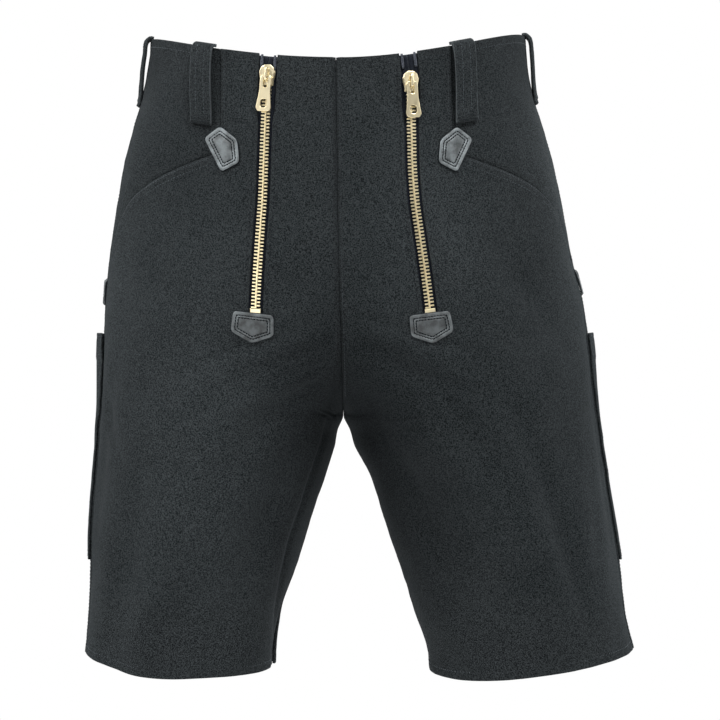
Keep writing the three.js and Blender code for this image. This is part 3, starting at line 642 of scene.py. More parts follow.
def stitch_frames(path, outs, pitch, skip_ends=1.0):
    """Frames along a polyline of points: X along it, Z straight out."""
    path, outs = np.asarray(path), np.asarray(outs)
    length = np.concatenate([[0], np.cumsum(np.linalg.norm(np.diff(path, axis=0), axis=1))])
    total = length[-1]
    count = max(1, int((total - 2 * skip_ends) / pitch))
    at = skip_ends + (np.arange(count) + 0.5) * (total - 2 * skip_ends) / count
    origin = np.stack([np.interp(at, length, path[:, k]) for k in range(3)], axis=-1)
    out = unit(np.stack([np.interp(at, length, outs[:, k]) for k in range(3)], axis=-1))
    ahead = np.stack([np.interp(at + 0.5, length, path[:, k]) for k in range(3)], axis=-1)
    behind = np.stack([np.interp(at - 0.5, length, path[:, k]) for k in range(3)], axis=-1)
    along = unit(ahead - behind)
    across = unit(np.cross(out, along))
    out = np.cross(along, across)
    return origin, np.stack([along, across, out], axis=1)


def cloth_path(side, turns, levels, lift):
    turns, levels = np.broadcast_arrays(np.asarray(turns, float), np.asarray(levels, float))
    points = on_cloth(side, turns, levels, lift)
    outs = outwards(side, turns, levels, smooth_point(side, turns, levels))
    return points, outs


def joined(frames):
    return np.concatenate([f[0] for f in frames]), np.concatenate([f[1] for f in frames])


# Rough sizes in millimetres, which the spacing of the panels' rows and columns follows
PANEL_STEP = 3.4
FRONT_SPANS = (48, 13, 22, 150)
HIP_SPAN = 140
BACK_SPAN, BACK_STEP = 300, 3.8
HEM_ROW, LEG_ROW, BAND_ROW = 26, 8, 20

# Rows and columns of the panels, as in the solids
LEG_LEVELS = [-502, -474, -446, -418, -390, -366, -346, -331, -321, -314, -306, -294, -277, -256]
HIP_LEVELS = [ZIP_BOTTOM_Z, -205, -175, -140, POCKET_TOP_Z]
LEVELS = np.array(LEG_LEVELS + HIP_LEVELS, float)
SHOULDER_ROW = len(LEVELS) - 1
SLOT_ROW = len(LEG_LEVELS)
BAND_ROWS = 6
WAIST_ROW = SHOULDER_ROW + BAND_ROWS
BEND_FROM_Z = -330
LINE_SHARES = [0, 0.18, 0.24, 0.32, 1]
LINES_EXACT_Z = -250
LINES_EVEN_Z = -330


def plain_level(row):
    return np.interp(row, np.arange(SHOULDER_ROW + 1), LEVELS)


def row_level(row, shoulder, waist, hem):
    """The level of a row where its shoulder, waist and hem stand at the given levels."""
    level = plain_level(row)
    bend = clamp((level - BEND_FROM_Z) / (POCKET_TOP_Z - BEND_FROM_Z))
    leg = level + bend * (shoulder - POCKET_TOP_Z)
    leg = np.where(row < 0, mix(hem, LEVELS[0], row + 1), leg)
    return np.where(row > SHOULDER_ROW, mix(shoulder, waist, (row - SHOULDER_ROW) / BAND_ROWS), leg)


def front_turn(side, z, line):
    """The turn of a column of the front. line runs from 0 at the centre seam to 4 at the side seam."""
    seam = side_seam_turn(z) - SEAM_GAP / 2 / section(side, z)[1]
    first = end_turns(side, z)[0]
    at_zip, half = zip_line(side, z), zip_slot_half(z)
    exact = [front_turn_at(side, x, z) for x in (at_zip - half, at_zip + half, HIP_SEAM_X)]
    even = ease((LINES_EXACT_Z - z) / (LINES_EXACT_Z - LINES_EVEN_Z))
    lines = [first, *exact, seam]
    lines = [mix(turn, mix(first, seam, share), even) for turn, share in zip(lines, LINE_SHARES)]
    base = np.clip(np.floor(line).astype(int), 0, 3)
    lines = np.stack(np.broadcast_arrays(*lines), axis=0)
    low = np.take_along_axis(lines, base[None], axis=0)[0]
    high = np.take_along_axis(lines, base[None] + 1, axis=0)[0]
    return mix(low, high, line - base)


def front_places(side, rows, lines):
    """Turn and level of every point of a front panel's grid."""
    row, line = np.meshgrid(rows, lines, indexing="ij")
    shoulder = np.where(line > 3, pocket_line(clamp(line - 3)), POCKET_TOP_Z)
    toward_side = clamp(line - 3)
    waist = waist_line(side, front_turn(side, ZIP_TOP_Z * (1 - toward_side), line))
    hem = hem_line(side, front_turn(side, np.full_like(line, LEVELS[0]), line))
    z = row_level(row, shoulder, waist, hem)
    return front_turn(side, z, line), z


def panel_rows(first, last):
    """Row positions with finer ones at the hem, the pocket mouth and the waist."""
    fine = [0.02, 0.05, 0.1, 0.2]
    marks = {first, last}
    marks |= {first + f for f in fine} | {last - f for f in fine}
    if first < SHOULDER_ROW < last:
        marks |= {SHOULDER_ROW + s * f for f in fine for s in (-1, 1)}
        marks |= {SLOT_ROW, SHOULDER_ROW}
    marks |= set(range(math.ceil(first), math.floor(last) + 1))
    ordered = sorted(marks)
    out = [ordered[0]]
    for a, b in zip(ordered, ordered[1:]):
        least = HEM_ROW if a < 0 else LEG_ROW if a < SHOULDER_ROW else BAND_ROW
        tall = max(abs(plain_level(b) - plain_level(a)), (b - a) * least)
        count = max(1, int(math.ceil(tall / PANEL_STEP)))
        out += [a + (b - a) * (i + 1) / count for i in range(count)]
    return np.array(out)


def front_lines():
    """Columns of a front, finer beside each of its lines."""
    lines = [0.0]
    for start, span in enumerate(FRONT_SPANS):
        lines += [start + share for share in with_fine_ends(span, PANEL_STEP)[1:]]
    return np.array(lines)


# Materials


def shader_group(name, inputs, outputs):
    """An empty node group with named number, colour or vector sockets."""
    group = bpy.data.node_groups.new(name, "ShaderNodeTree")
    kinds = {"number": "NodeSocketFloat", "colour": "NodeSocketColor", "vector": "NodeSocketVector"}
    for label, kind, default in inputs:
        socket = group.interface.new_socket(label, in_out="INPUT", socket_type=kinds[kind])
        if default is not None:
            socket.default_value = default
    for label, kind in outputs:
        group.interface.new_socket(label, in_out="OUTPUT", socket_type=kinds[kind])
    return group, group.nodes.new("NodeGroupInput"), group.nodes.new("NodeGroupOutput")


def add_node(tree, kind, inputs, **settings):
    """A shader node with its settings; each of its inputs is linked to a socket or set to a value."""
    node = tree.nodes.new(f"ShaderNode{kind}")
    for name, value in settings.items():
        setattr(node, name, value)
    for name, value in inputs.items():
        if isinstance(value, bpy.types.NodeSocket):
            tree.links.new(value, node.inputs[name])
        else:
            node.inputs[name].default_value = value
    return node


def noise_node(tree, vector, scale, detail=2.0, rough=0.5):
    inputs = {"Vector": vector, "Scale": scale, "Detail": detail, "Roughness": rough}
    return add_node(tree, "TexNoise", inputs).outputs["Fac"]


def math_node(tree, operation, *values, clamped=False):
    node = add_node(tree, "Math", dict(enumerate(values)), operation=operation, use_clamp=clamped)
    return node.outputs[0]


def blend_node(tree, share, a, b):
    """A colour from a to b."""
    return add_node(tree, "Mix", {"Factor": share, "A": a, "B": b}, data_type="RGBA").outputs["Result"]


PAINTED_SHADE_REACH = 1.6  # how far a place of painted light or shade reaches, in its own sizes

# Painted light (change above 0) on the thigh and hip fronts and along the outer silhouettes, and painted
# shade (change below 0) between the legs, on the inner thighs and at the belt loops: x, y, z, wide, deep,
# high, change.
PAINTED_LIGHT_AND_SHADE_PLACES = [
    (8, -60, -305, 48, 160, 75, -0.35),
    (-42, -50, -410, 40, 150, 100, -0.35),
    (50, -50, -405, 58, 150, 115, -0.37),
    (-90, -100, -375, 66, 80, 165, 0.36),
    (78, -100, -165, 46, 80, 95, 0.25),
    (-122, -80, -85, 35, 80, 60, -0.2),
    (-155, 0, -15, 30, 60, 40, -0.5),
    (174, 0, -15, 30, 60, 40, -0.5),
    (180, 0, -95, 30, 90, 60, 0.6),
    (207, 20, -190, 40, 90, 90, 0.7),
    (222, 20, -410, 30, 90, 100, 0.4),
    (-200, 0, -215, 35, 90, 90, 0.3),
]


def painted_light_and_shade(tree, vector):
    """Painted light and shade on the cloth's colour: 1, changed softly around the listed places."""
    shade = 1.0
    for x, y, z, wide, deep, high, change in PAINTED_LIGHT_AND_SHADE_PLACES:
        place, size = (x * MM, y * MM, z * MM), (wide * MM, deep * MM, high * MM)
        offset = add_node(tree, "VectorMath", {0: vector, 1: place}, operation="SUBTRACT")
        share = add_node(tree, "VectorMath", {0: offset.outputs[0], 1: size}, operation="DIVIDE")
        away = add_node(tree, "VectorMath", {0: share.outputs[0]}, operation="LENGTH")
        limits = {"Value": away.outputs["Value"], "From Max": PAINTED_SHADE_REACH, "To Min": change, "To Max": 0}
        fade = add_node(tree, "MapRange", limits, interpolation_type="SMOOTHSTEP")
        shade = math_node(tree, "ADD", fade.outputs["Result"], shade)
    return shade


def nap_and_painted_shade_group():
    """Brushed cotton: soft clouds of nap, short fibres and a faint diagonal twill; its colour is scaled by
    painted light and shade.
    """
    inputs = [
        ("Vector", "vector", None),
        ("Dark", "colour", (0.01, 0.01, 0.01, 1)),
        ("Light", "colour", (0.03, 0.03, 0.03, 1)),
        ("Fibre Scale", "number", 1050.0),
        ("Cloud Scale", "number", 22.0),
        ("Twill Scale", "number", 620.0),
        ("Twill Amount", "number", 0.25),
    ]
    group, start, end = shader_group("Brushed Nap and Painted Shade", inputs, [("Color", "colour"), ("Height", "number")])
    given = start.outputs
    clouds = noise_node(group, given["Vector"], given["Cloud Scale"], 3)
    fibres = noise_node(group, given["Vector"], given["Fibre Scale"], 2, 0.65)
    bands = {"Distortion": 1.5, "Detail": 1.0, "Vector": given["Vector"], "Scale": given["Twill Scale"]}
    wave = add_node(group, "TexWave", bands, wave_type="BANDS", bands_direction="DIAGONAL")
    ribs = math_node(group, "MULTIPLY", wave.outputs["Fac"], given["Twill Amount"])
    # The noises keep close to a half, so their spread is widened.
    mottle = math_node(group, "MULTIPLY_ADD", fibres, 5.1, -2.55)
    drift = math_node(group, "MULTIPLY_ADD", clouds, 0.4, 0.3)
    tone = math_node(group, "ADD", drift, mottle, clamped=True)
    colour = blend_node(group, tone, given["Dark"], given["Light"])
    # Painted light and shade: the colour is made paler or darker around the listed places.
    wear_and_painted_shade = {0: colour, "Scale": painted_light_and_shade(group, given["Vector"])}
    group.links.new(add_node(group, "VectorMath", wear_and_painted_shade, operation="SCALE").outputs[0], end.inputs["Color"])
    group.links.new(math_node(group, "ADD", fibres, ribs), end.inputs["Height"])


def grain_group():
    """Leather grain: small cells with fine wrinkles between them."""
    inputs = [("Vector", "vector", None), ("Cell Scale", "number", 900.0), ("Mottle Scale", "number", 160.0)]
    group, start, end = shader_group("Leather Grain", inputs, [("Height", "number"), ("Mottle", "number")])
    given = start.outputs
    cells = add_node(group, "TexVoronoi", {"Vector": given["Vector"], "Scale": given["Cell Scale"]})
    mottle = noise_node(group, given["Vector"], given["Mottle Scale"], 3)
    group.links.new(cells.outputs["Distance"], end.inputs["Height"])
    group.links.new(mottle, end.inputs["Mottle"])


def shell_material(name, colour, roughness, **sockets):
    material = bpy.data.materials.new(name)
    material.use_nodes = True
    shader = material.node_tree.nodes["Principled BSDF"]
    shader.inputs["Base Color"].default_value = (*colour, 1)
    shader.inputs["Roughness"].default_value = roughness
    for label, value in sockets.items():
        shader.inputs[label.replace("_", " ")].default_value = value
    return material, shader


def add_bump(tree, shader, height, distance):
    bump = add_node(tree, "Bump", {"Distance": distance, "Strength": 1.0, "Height": height})
    tree.links.new(bump.outputs["Normal"], shader.inputs["Normal"])


def object_vector(tree):
    return tree.nodes.new("ShaderNodeTexCoord").outputs["Object"]


def cloth_material(name, dark, light, sheen=0.04, twill=0.25, relief=0.00025):
    """A brushed cloth whose colour has painted light towards its silhouette and painted shade between the
    legs.
    """
    material, shader = shell_material(
        name,
        light,
        0.95,
        Specular_IOR_Level=0.03,
        Sheen_Weight=sheen,
        Sheen_Roughness=0.45,
        Sheen_Tint=(0.75, 0.85, 0.92, 1),
    )
    tree = material.node_tree
    inputs = {
        "Vector": object_vector(tree),
        "Dark": (*dark, 1),
        "Light": (*light, 1),
        "Twill Amount": twill,
    }
    nap = add_node(tree, "Group", inputs, node_tree=bpy.data.node_groups["Brushed Nap and Painted Shade"])
    tree.links.new(nap.outputs["Color"], shader.inputs["Base Color"])
    add_bump(tree, shader, nap.outputs["Height"], relief)


def leather_material(name, colour, lighter=1.0):
    """Worn leather, blotched lighter and darker; its sewn rim is lighter than its middle."""
    material, shader = shell_material(name, colour, 0.5, Specular_IOR_Level=0.4)
    tree = material.node_tree
    leather = bpy.data.node_groups["Leather Grain"]
    grain = add_node(tree, "Group", {"Vector": object_vector(tree)}, node_tree=leather)
    blotch = math_node(tree, "MULTIPLY_ADD", grain.outputs["Mottle"], 3.4, -1.2, clamped=True)
    dark, light = ((*[c * tone * lighter for c in colour], 1) for tone in (0.5, 1.5))
    tree.links.new(blend_node(tree, blotch, dark, light), shader.inputs["Base Color"])
    rough = math_node(tree, "MULTIPLY_ADD", grain.outputs["Mottle"], 0.3, 0.34)
    tree.links.new(rough, shader.inputs["Roughness"])
    add_bump(tree, shader, grain.outputs["Height"], 0.00012)


def brass_material(name, colour):
    material, shader = shell_material(name, colour, 0.34, Metallic=1.0)
    tree = material.node_tree
    wear_and_painted_shade = noise_node(tree, object_vector(tree), 420, 3)
    tree.links.new(math_node(tree, "MULTIPLY_ADD", wear_and_painted_shade, 0.2, 0.24), shader.inputs["Roughness"])


def sizes():
    return bpy.context.scene.shorts_sizes


def colours():
    return bpy.context.scene.shorts_colours


def material(name):
    return bpy.data.materials[name]


class ShortsSizes(bpy.types.PropertyGroup):
    cloth: FloatProperty(
        name="Cloth thickness",
        description="Thickness of every cloth wall, in millimetres",
        default=1.7,
        min=0.5,
        max=3,
    )
    stitch_pitch: FloatProperty(
        name="Stitch pitch",
        description="Distance from one stitch to the next, in millimetres",
        default=3.1,
        min=1,
        max=8,
    )
    tooth_pitch: FloatProperty(
        name="Tooth pitch",
        description="Distance between the teeth on one tape, in millimetres",
        default=2.77,
        min=1,
        max=6,
    )
    loop_cloth: FloatProperty(
        name="Loop thickness",
        description="Thickness of a belt loop's folded strap, in millimetres",
        default=2.4,
        min=1,
        max=4,
    )


class ShortsColours(bpy.types.PropertyGroup):
    cloth_dark: FloatVectorProperty(
        name="Cloth, dark",
        description="Darkest tone of the cloth",
        default=(0.0058, 0.007, 0.0076),
        subtype="COLOR",
    )
    cloth_light: FloatVectorProperty(
        name="Cloth, light",
        description="Lightest tone of the cloth",
        default=(0.0298, 0.0343, 0.0362),
        subtype="COLOR",
    )
    tape: FloatVectorProperty(
        name="Zip tape",
        description="Colour of the zip tapes",
        default=(0.012, 0.014, 0.02),
        subtype="COLOR",
    )
    thread: FloatVectorProperty(
        name="Thread",
        description="Colour of the sewing thread",
        default=(0.02, 0.023, 0.025),
        subtype="COLOR",
    )
    leather: FloatVectorProperty(
        name="Leather",
        description="Colour of the leather tips",
        default=(0.075, 0.085, 0.089),
        subtype="COLOR",
    )
    brass: FloatVectorProperty(
        name="Brass",
        description="Colour of the zips' metal",
        default=(0.82, 0.72, 0.48),
        subtype="COLOR",
    )


class SHORTS_OT_materials(bpy.types.Operator):
    """Makes the cloth, tape, thread, leather and brass"""

    bl_idname = "shorts.materials"
    bl_label = "Materials"

    def execute(self, context):
        nap_and_painted_shade_group()
        grain_group()
        tones = colours()
        cloth_material("Black moleskin", tones.cloth_dark, tones.cloth_light)
        cloth_material("Loop cloth", tones.cloth_dark, tones.cloth_light, relief=0.0002)
        cloth_material("Zip tape", [c * 0.6 for c in tones.tape], tones.tape, sheen=0.2, twill=0.6)
        cloth_material("Tape end", (0.03, 0.033, 0.042), (0.075, 0.083, 0.1), sheen=0.2, twill=0.6)
        smooth = {"relief": 0.0001}
        cloth_material("Black thread", [c * 0.7 for c in tones.thread], tones.thread, sheen=0.4, **smooth)
        # This near-black thread colour is also painted on the leather tips' edges and groove bottoms as
        # shadow and shade.
        cloth_material("Dark thread and painted shade", (0.004, 0.005, 0.006), (0.01, 0.012, 0.013), sheen=0.1, **smooth)
        cloth_material("Paler edge cloth", tones.cloth_light, [c * 1.9 for c in tones.cloth_light])
        # The lower tips take a darker copy of the same leather, as painted shade.
        for name, tone in (("Black leather", 1.0), ("Leather in painted shade", 0.6)):
            leather_material(name, [c * tone for c in tones.leather])
            leather_material(f"{name} rim", [c * tone for c in tones.leather], 1.5)
        brass_material("Polished brass", [min(c * 1.1, 1) for c in tones.brass])
        brass_material("Slider brass", [c * 1.05 for c in tones.brass])
        return {"FINISHED"}


class SHORTS_OT_fronts(bpy.types.Operator):
    """Cuts the two front panels, each with a slot for its zip and a pocket mouth"""

    bl_idname = "shorts.fronts"
    bl_label = "Front panels"
    CUT = (0.275, 0.53, 0.114)  # width and length of the cut in metres, and its area in square metres

    def execute(self, context):
        rows = panel_rows(-1, WAIST_ROW)
        lines = front_lines()
        row, line = np.meshgrid(rows[:-1], lines[:-1], indexing="ij")
        in_slot = (line >= 1 - 1e-6) & (line < 2 - 1e-6) & (row >= SLOT_ROW - 1e-6)
        in_mouth = (line >= 3 - 1e-6) & (row >= SHOULDER_ROW - 1e-6)
        for side in SIDES:
            turn, z = front_places(side, rows, lines)
            points = on_cloth(side, turn, z)
            bm = woven_grid(points, ~(in_slot | in_mouth), (0.3 * SIDES[side], -1, 0))
            sew(f"front_cloth_{side}", bm, self.CUT, f"front_{side}")
        return {"FINISHED"}


class SHORTS_OT_hips(bpy.types.Operator):
    """Cuts the hip pieces that lie behind the pocket mouths"""

    bl_idname = "shorts.hips"
    bl_label = "Hip pieces"
    CUT = (0.18, 0.215, 0.035)
    LAP_ROWS = 0.33
    CLEARANCE = 0.35
    SINK_FADE = 26
    MOUTH_WIDTH = 105
    BAND_HEIGHT = (70, 200)  # from the mouth up to the waist, at the hip seam and at the side

    def execute(self, context):
        rows = panel_rows(SHOULDER_ROW - self.LAP_ROWS, WAIST_ROW)
        lines = np.concatenate([[2.6, 2.8], 3 + with_fine_ends(HIP_SPAN, PANEL_STEP)])
        for side in SIDES:
            turn, z = front_places(side, rows, lines)
            row, line = np.meshgrid(rows, lines, indexing="ij")
            past = clamp(line - 3)
            above = clamp((row - SHOULDER_ROW) / BAND_ROWS) * mix(*self.BAND_HEIGHT, past)
            fade = ease(np.minimum(above, past * self.MOUTH_WIDTH) / self.SINK_FADE)
            sink = (sizes().cloth + self.CLEARANCE) * (1 - fade)
            points = on_cloth(side, turn, z, -sink)
            bm = woven_grid(points, None, (SIDES[side], -1, 0))
            sew(f"hip_cloth_{side}", bm, self.CUT, f"hip_{side}")
        return {"FINISHED"}


def back_places(side, rows, shares):
    row, share = np.meshgrid(rows, shares, indexing="ij")

    def turn_at(z):
        seam = side_seam_turn(z) + SEAM_GAP / 2 / section(side, z)[1]
        return mix(seam, end_turns(side, z)[1], share)

    shoulder = mix(pocket_line(1.0), POCKET_TOP_Z, ease(share / 0.6))
    waist = waist_line(side, turn_at(np.zeros_like(share)))
    hem = hem_line(side, turn_at(np.full_like(share, LEVELS[0])))
    z = row_level(row, shoulder, waist, hem)
    return turn_at(z), z


class SHORTS_OT_backs(bpy.types.Operator):
    """Cuts the two back panels"""

    bl_idname = "shorts.backs"
    bl_label = "Back panels"
    CUT = (0.38, 0.54, 0.163)

    def execute(self, context):
        rows = panel_rows(-1, WAIST_ROW)
        shares = with_fine_ends(BACK_SPAN, BACK_STEP)
        for side in SIDES:
            turn, z = back_places(side, rows, shares)
            bm = woven_grid(on_cloth(side, turn, z), None, (0.3 * SIDES[side], 1, 0))
            sew(f"back_cloth_{side}", bm, self.CUT, f"back_{side}")
        return {"FINISHED"}


class SHORTS_OT_seam_allowances(bpy.types.Operator):
    """Lays the pressed-open seam allowances behind the centre seams, side seams and inseams"""

    bl_idname = "shorts.seam_allowances"
    bl_label = "Seam allowances"
    WIDTHS = (6, 2.5, 0.4)
    CLOTH = 0.9
    DEPTH = -1.95

    def execute(self, context):
        for way, label in ((0, "front"), (1, "back")):
            self.strip(f"centre_{label}", self.centre(way), (0.012, 0.3), label)
        for side in SIDES:
            self.strip(f"inseam_{side}", self.inseam(side), (0.012, 0.215), side)
            self.strip(f"side_{side}", self.side_seam(side), (0.012, 0.51), side)
        return {"FINISHED"}

    def centre(self, end):
        """Both sides of a centre seam, from the crotch to the waist."""
        share = np.linspace(0, 1, 90)
        columns = []
        for side, widths in (("right", self.WIDTHS), ("left", self.WIDTHS[::-1])):
            top = float(waist_line(side, end_turns(side, -30.0 * (1 - end))[end])) - 1.5
            z = mix(CROTCH_Z + 1.5, top, share)
            for width in widths:
                turn = turn_after(side, end_turns(side, z)[end], z, width * (1 - 2 * end))
                columns.append(on_cloth(side, turn, z, self.DEPTH))
        return np.stack(columns, axis=1)

    def inseam(self, side):
        z = np.linspace(hem_line(side, math.pi) + 1.5, CROTCH_Z - 1.5, 66)
        front, back = end_turns(side, z)
        columns = [turn_after(side, front, z, width) for width in self.WIDTHS]
        columns += [turn_after(side, back, z, -width) for width in self.WIDTHS[::-1]]
        return np.stack([on_cloth(side, turn, z, self.DEPTH) for turn in columns], axis=1)

    def side_seam(self, side):
        seam = side_seam_turn(0.0)
        z = np.linspace(hem_line(side, side_seam_turn(-500.0)) + 1.5, waist_line(side, seam) - 1.5, 150)
        turns = [turn_after(side, side_seam_turn(z), z, width) for width in (-6, -2, 0, 2, 6)]
        return np.stack([on_cloth(side, turn, z, self.DEPTH) for turn in turns], axis=1)

    def strip(self, label, points, flat, where):
        bm = woven_grid(points)
        bm.faces.ensure_lookup_table()
        face = bm.faces[len(bm.faces) // 2]
        middle = face.calc_center_median()
        leg = 0.0 if where in {"front", "back"} else SIDES[where] * 0.14
        if face.normal.dot(middle - Vector((leg, 0, middle.z))) < 0:
            bmesh.ops.reverse_faces(bm, faces=bm.faces[:])
        sew(f"seam_allowance_{label}", bm, flat, thickness=self.CLOTH)


RULE_TOP, RULE_BOTTOM, RULE_WIDTH = -247, -437, 88
RULE_HEIGHT = RULE_TOP - RULE_BOTTOM
RULE_LIFT, RULE_BASE, RULE_GAPE_DEPTH = 0.5, 0.4, 90
RULE_GAPE = {"right": 3.0, "left": 2.0}


def rule_places(side, low, high):
    """Turn and level across a rule pocket, for shares across it and up it."""
    up, across = np.meshgrid(high, low, indexing="ij")
    z = mix(RULE_BOTTOM, RULE_TOP, up)
    seam = side_seam_turn(z) + 1.2 / section(side, z)[1]
    turn = turn_after(side, seam, z, RULE_WIDTH * across)
    edge = RULE_WIDTH * np.minimum(across, 1 - across)
    gape = RULE_BASE + RULE_GAPE[side] * ease(1 - (RULE_TOP - z) / RULE_GAPE_DEPTH)
    return turn, z, RULE_LIFT + gape * ease(edge / 12) * ease(up * 8)


class SHORTS_OT_rule_pockets(bpy.types.Operator):
    """Makes the long patch pockets behind the side seams"""

    bl_idname = "shorts.rule_pockets"
    bl_label = "Rule pockets"
    CUT = (0.09, 0.19, 0.0171)

    def execute(self, context):
        across, up = with_fine_ends(RULE_WIDTH, 3.2), with_fine_ends(RULE_HEIGHT, PANEL_STEP)
        for side in SIDES:
            turn, z, stand = rule_places(side, across, up)
            # The hem at the top is folded under, 20 mm deep, and sewn with two rows.
            below = RULE_HEIGHT - RULE_HEIGHT * np.meshgrid(up, across, indexing="ij")[0]
            fold = 0.5 * (ease((below + 1) / 2) - ease((below - 20) / 2))
            groove = 0.25 * (bell(below - 18, 1) + bell(below - 3, 1))
            points = on_cloth(side, turn, z, stand + sizes().cloth + fold - groove)
            bm = woven_grid(points, None, (SIDES[side], 0.4, 0))
            sew(f"rule_pocket_cloth_{side}", bm, self.CUT, f"rule_pocket_{side}")
        return {"FINISHED"}


# Belt loops: distance of the strap's middle from the cloth, and height above the waist edge.
LOOP_PATH = {
    "front": [
        (-1.2, 1.7),
        (2, 1.9),
        (4.8, 0.2),
        (6.2, -4),
        (6.7, -9),
        (6.7, -15),
        (6.4, -23),
        (5.7, -32),
        (4.5, -42),
        (3, -51),
        (2.2, -56.5),
        (2.1, -62.5),
    ],
    "side": [
        (-1.2, 1.9),
        (1.4, 2.6),
        (3.8, 1.2),
        (4.8, -2.5),
        (5.1, -8),
        (5.1, -14),
        (5.1, -20),
        (4.8, -28),
        (4, -36),
        (2.9, -43),
        (2.2, -48),
        (2.1, -56),
    ],
}
LOOP_WIDTH = 18.5
LOOP_STITCH = 3.6
LOOP_X = {"right": (104.5, 107.5), "left": (99.5, 103.5)}  # at the waist edge and at the lower end
LOOP_DROP = 62.5
SIDE_LOOP_TURN = -5 * DEGREE


def smooth_path(path, spacing=1.6):
    """A finely stepped curve through the points of a path, two rounds of corner cutting smoother."""
    points = np.array(path, float)
    for _ in range(2):
        cut = np.concatenate([[points[0]], 0.5 * (points[:-1] + points[1:]), [points[-1]]])
        fine, coarse = np.linspace(0, 1, 2 * len(cut)), np.linspace(0, 1, len(cut))
        points = np.stack([np.interp(fine, coarse, cut[:, k]) for k in (0, 1)], axis=-1)
    length = np.concatenate([[0], np.cumsum(np.linalg.norm(np.diff(points, axis=0), axis=1))])
    at = np.linspace(0, length[-1], int(length[-1] / spacing) + 1)
    return np.stack([np.interp(at, length, points[:, k]) for k in (0, 1)], axis=-1)


def loop_spot(kind, side):
    """A function from a strap's crosswise distance, distance out and height to a point."""
    if kind == "back":

        def place(across, out, rise):
            x = body_middle(rise) + across
            return np.stack(np.broadcast_arrays(x, body_back(rise) + out, rise), axis=-1)

        return place
    top, low = LOOP_X[side]
    edge = float(waist_line(side, front_turn_at(side, top, float(ZIP_TOP_Z))))

    def place(across, out, rise):
        across, out, rise = np.broadcast_arrays(across, out, np.asarray(rise, float))
        turn = np.full(rise.shape, SIDE_LOOP_TURN)
        if kind == "front":
            turn = front_turn_at(side, mix(top, low, -rise / LOOP_DROP), edge + rise)
        at = turn_beside(side, turn, np.full(rise.shape, float(ZIP_TOP_Z)), across)
        return on_cloth(side, at, waist_line(side, at) + rise, out)

    return place


def all_loops():
    for side in SIDES:
        for kind in ("front", "side"):
            yield kind, side, f"belt_loop_{kind}_{side}"
    yield "back", "left", "belt_loop_back"


class SHORTS_OT_belt_loops(bpy.types.Operator):
    """Makes the five belt loops with their two rows of stitches and bar tacks"""

    bl_idname = "shorts.belt_loops"
    bl_label = "Belt loops"
    CUT = (0.0185, 0.076)
    CURL = 0.35  # how far the edges curl in
    END_FOLD = (0.45, 5.2, 0.9)  # the ridge of the folded end: height, place above the end and width
    END_DIP = (0.5, 2.4, 2)  # the hollow that the bar tack pulls in, likewise
    TACK_LEVELS = (1.6, 3.4)
    TACK_POINTS = 24
    THREAD_SINK, TACK_SINK = 0.22, 0.45

    def execute(self, context):
        stitches = []
        tacks = []
        for kind, side, node in all_loops():
            path = smooth_path(LOOP_PATH["side" if kind == "side" else "front"])
            place = loop_spot(kind, side)
            shares = with_fine_ends(LOOP_WIDTH, 1.6, (0.5, 1.1)) - 0.5
            out = path[:, 0][:, None] + 0 * shares
            rise = path[:, 1][:, None] + 0 * shares
            across = LOOP_WIDTH * shares[None, :] + 0 * out
            low = rise - path[-1, 1]
            # The strap's edges curl in, its stitches sink, and its end is folded under and sewn flat.
            curl = -self.CURL * (2 * np.abs(shares)[None, :]) ** 4
            shape = curl - 0.25 * bell(np.abs(across) - LOOP_STITCH, 0.9)
            (ridge, ridge_at, ridge_wide), (dip, dip_at, dip_wide) = self.END_FOLD, self.END_DIP
            shape = shape + ridge * bell(low - ridge_at, ridge_wide) - dip * bell(low - dip_at, dip_wide)
            points = place(across, out + shape, rise)
            out_way = {"back": (0, 1, 0), "side": (SIDES[side], 0, 0), "front": (SIDES[side], -1, 0)}[kind]
            bm = woven_grid(points)
            bm.faces.ensure_lookup_table()
            face = bm.faces[int(len(bm.faces) * 0.7)]
            if face.normal.dot(Vector(out_way)) < 0:
                bmesh.ops.reverse_faces(bm, faces=bm.faces[:])
            # The strap's first and last columns take a paler copy of the cloth.
            for index, face in enumerate(bm.faces):
                face.material_index = int(index % (len(shares) - 1) in (0, len(shares) - 2))
            strap = {"cloth": "Loop cloth", "thickness": sizes().loop_cloth, "offset": 0}
            piece = sew(f"{node}_strap", bm, self.CUT, node, **strap)
            piece.data.materials.append(material("Paler edge cloth"))
            half = sizes().loop_cloth / 2
            outs = self.outs(place, path)
            for line in (-LOOP_STITCH, LOOP_STITCH):
                row = place(np.full(len(path), line), path[:, 0] + half - self.THREAD_SINK, path[:, 1])
                stitches.append(stitch_frames(row[3:-4], outs[3:-4], sizes().stitch_pitch))
            count = self.TACK_POINTS
            for level in self.TACK_LEVELS:
                spread = np.linspace(-LOOP_WIDTH / 2 + 1, LOOP_WIDTH / 2 - 1, count)
                last = np.full(count, path[-1, 1] + level)
                row = place(spread, np.full(count, path[-1, 0] + half - self.TACK_SINK), last)
                tacks.append(stitch_frames(row, np.repeat(outs[-2][None], count, axis=0), 1.5))
        piece = scatter("loop_stitches", thread_bead(2.3, 0.75, 0.6), joined(stitches), "Black thread")
        settle(piece, "black_twill")
        piece = scatter("loop_tacks", thread_bead(1.7, 0.9, 0.6), joined(tacks), "Dark thread and painted shade")
        settle(piece, "black_twill")
        return {"FINISHED"}

    @staticmethod
    def outs(place, path):
        here = place(np.zeros(len(path)), path[:, 0], path[:, 1])
        beside = place(np.full(len(path), 1.0), path[:, 0], path[:, 1])
        along = np.gradient(here, axis=0)
        out = np.cross(beside - here, along)
        further = place(np.zeros(len(path)), path[:, 0] + 1, path[:, 1]) - here
        return unit(out * np.sign(np.sum(out[-3] * further[-3])))


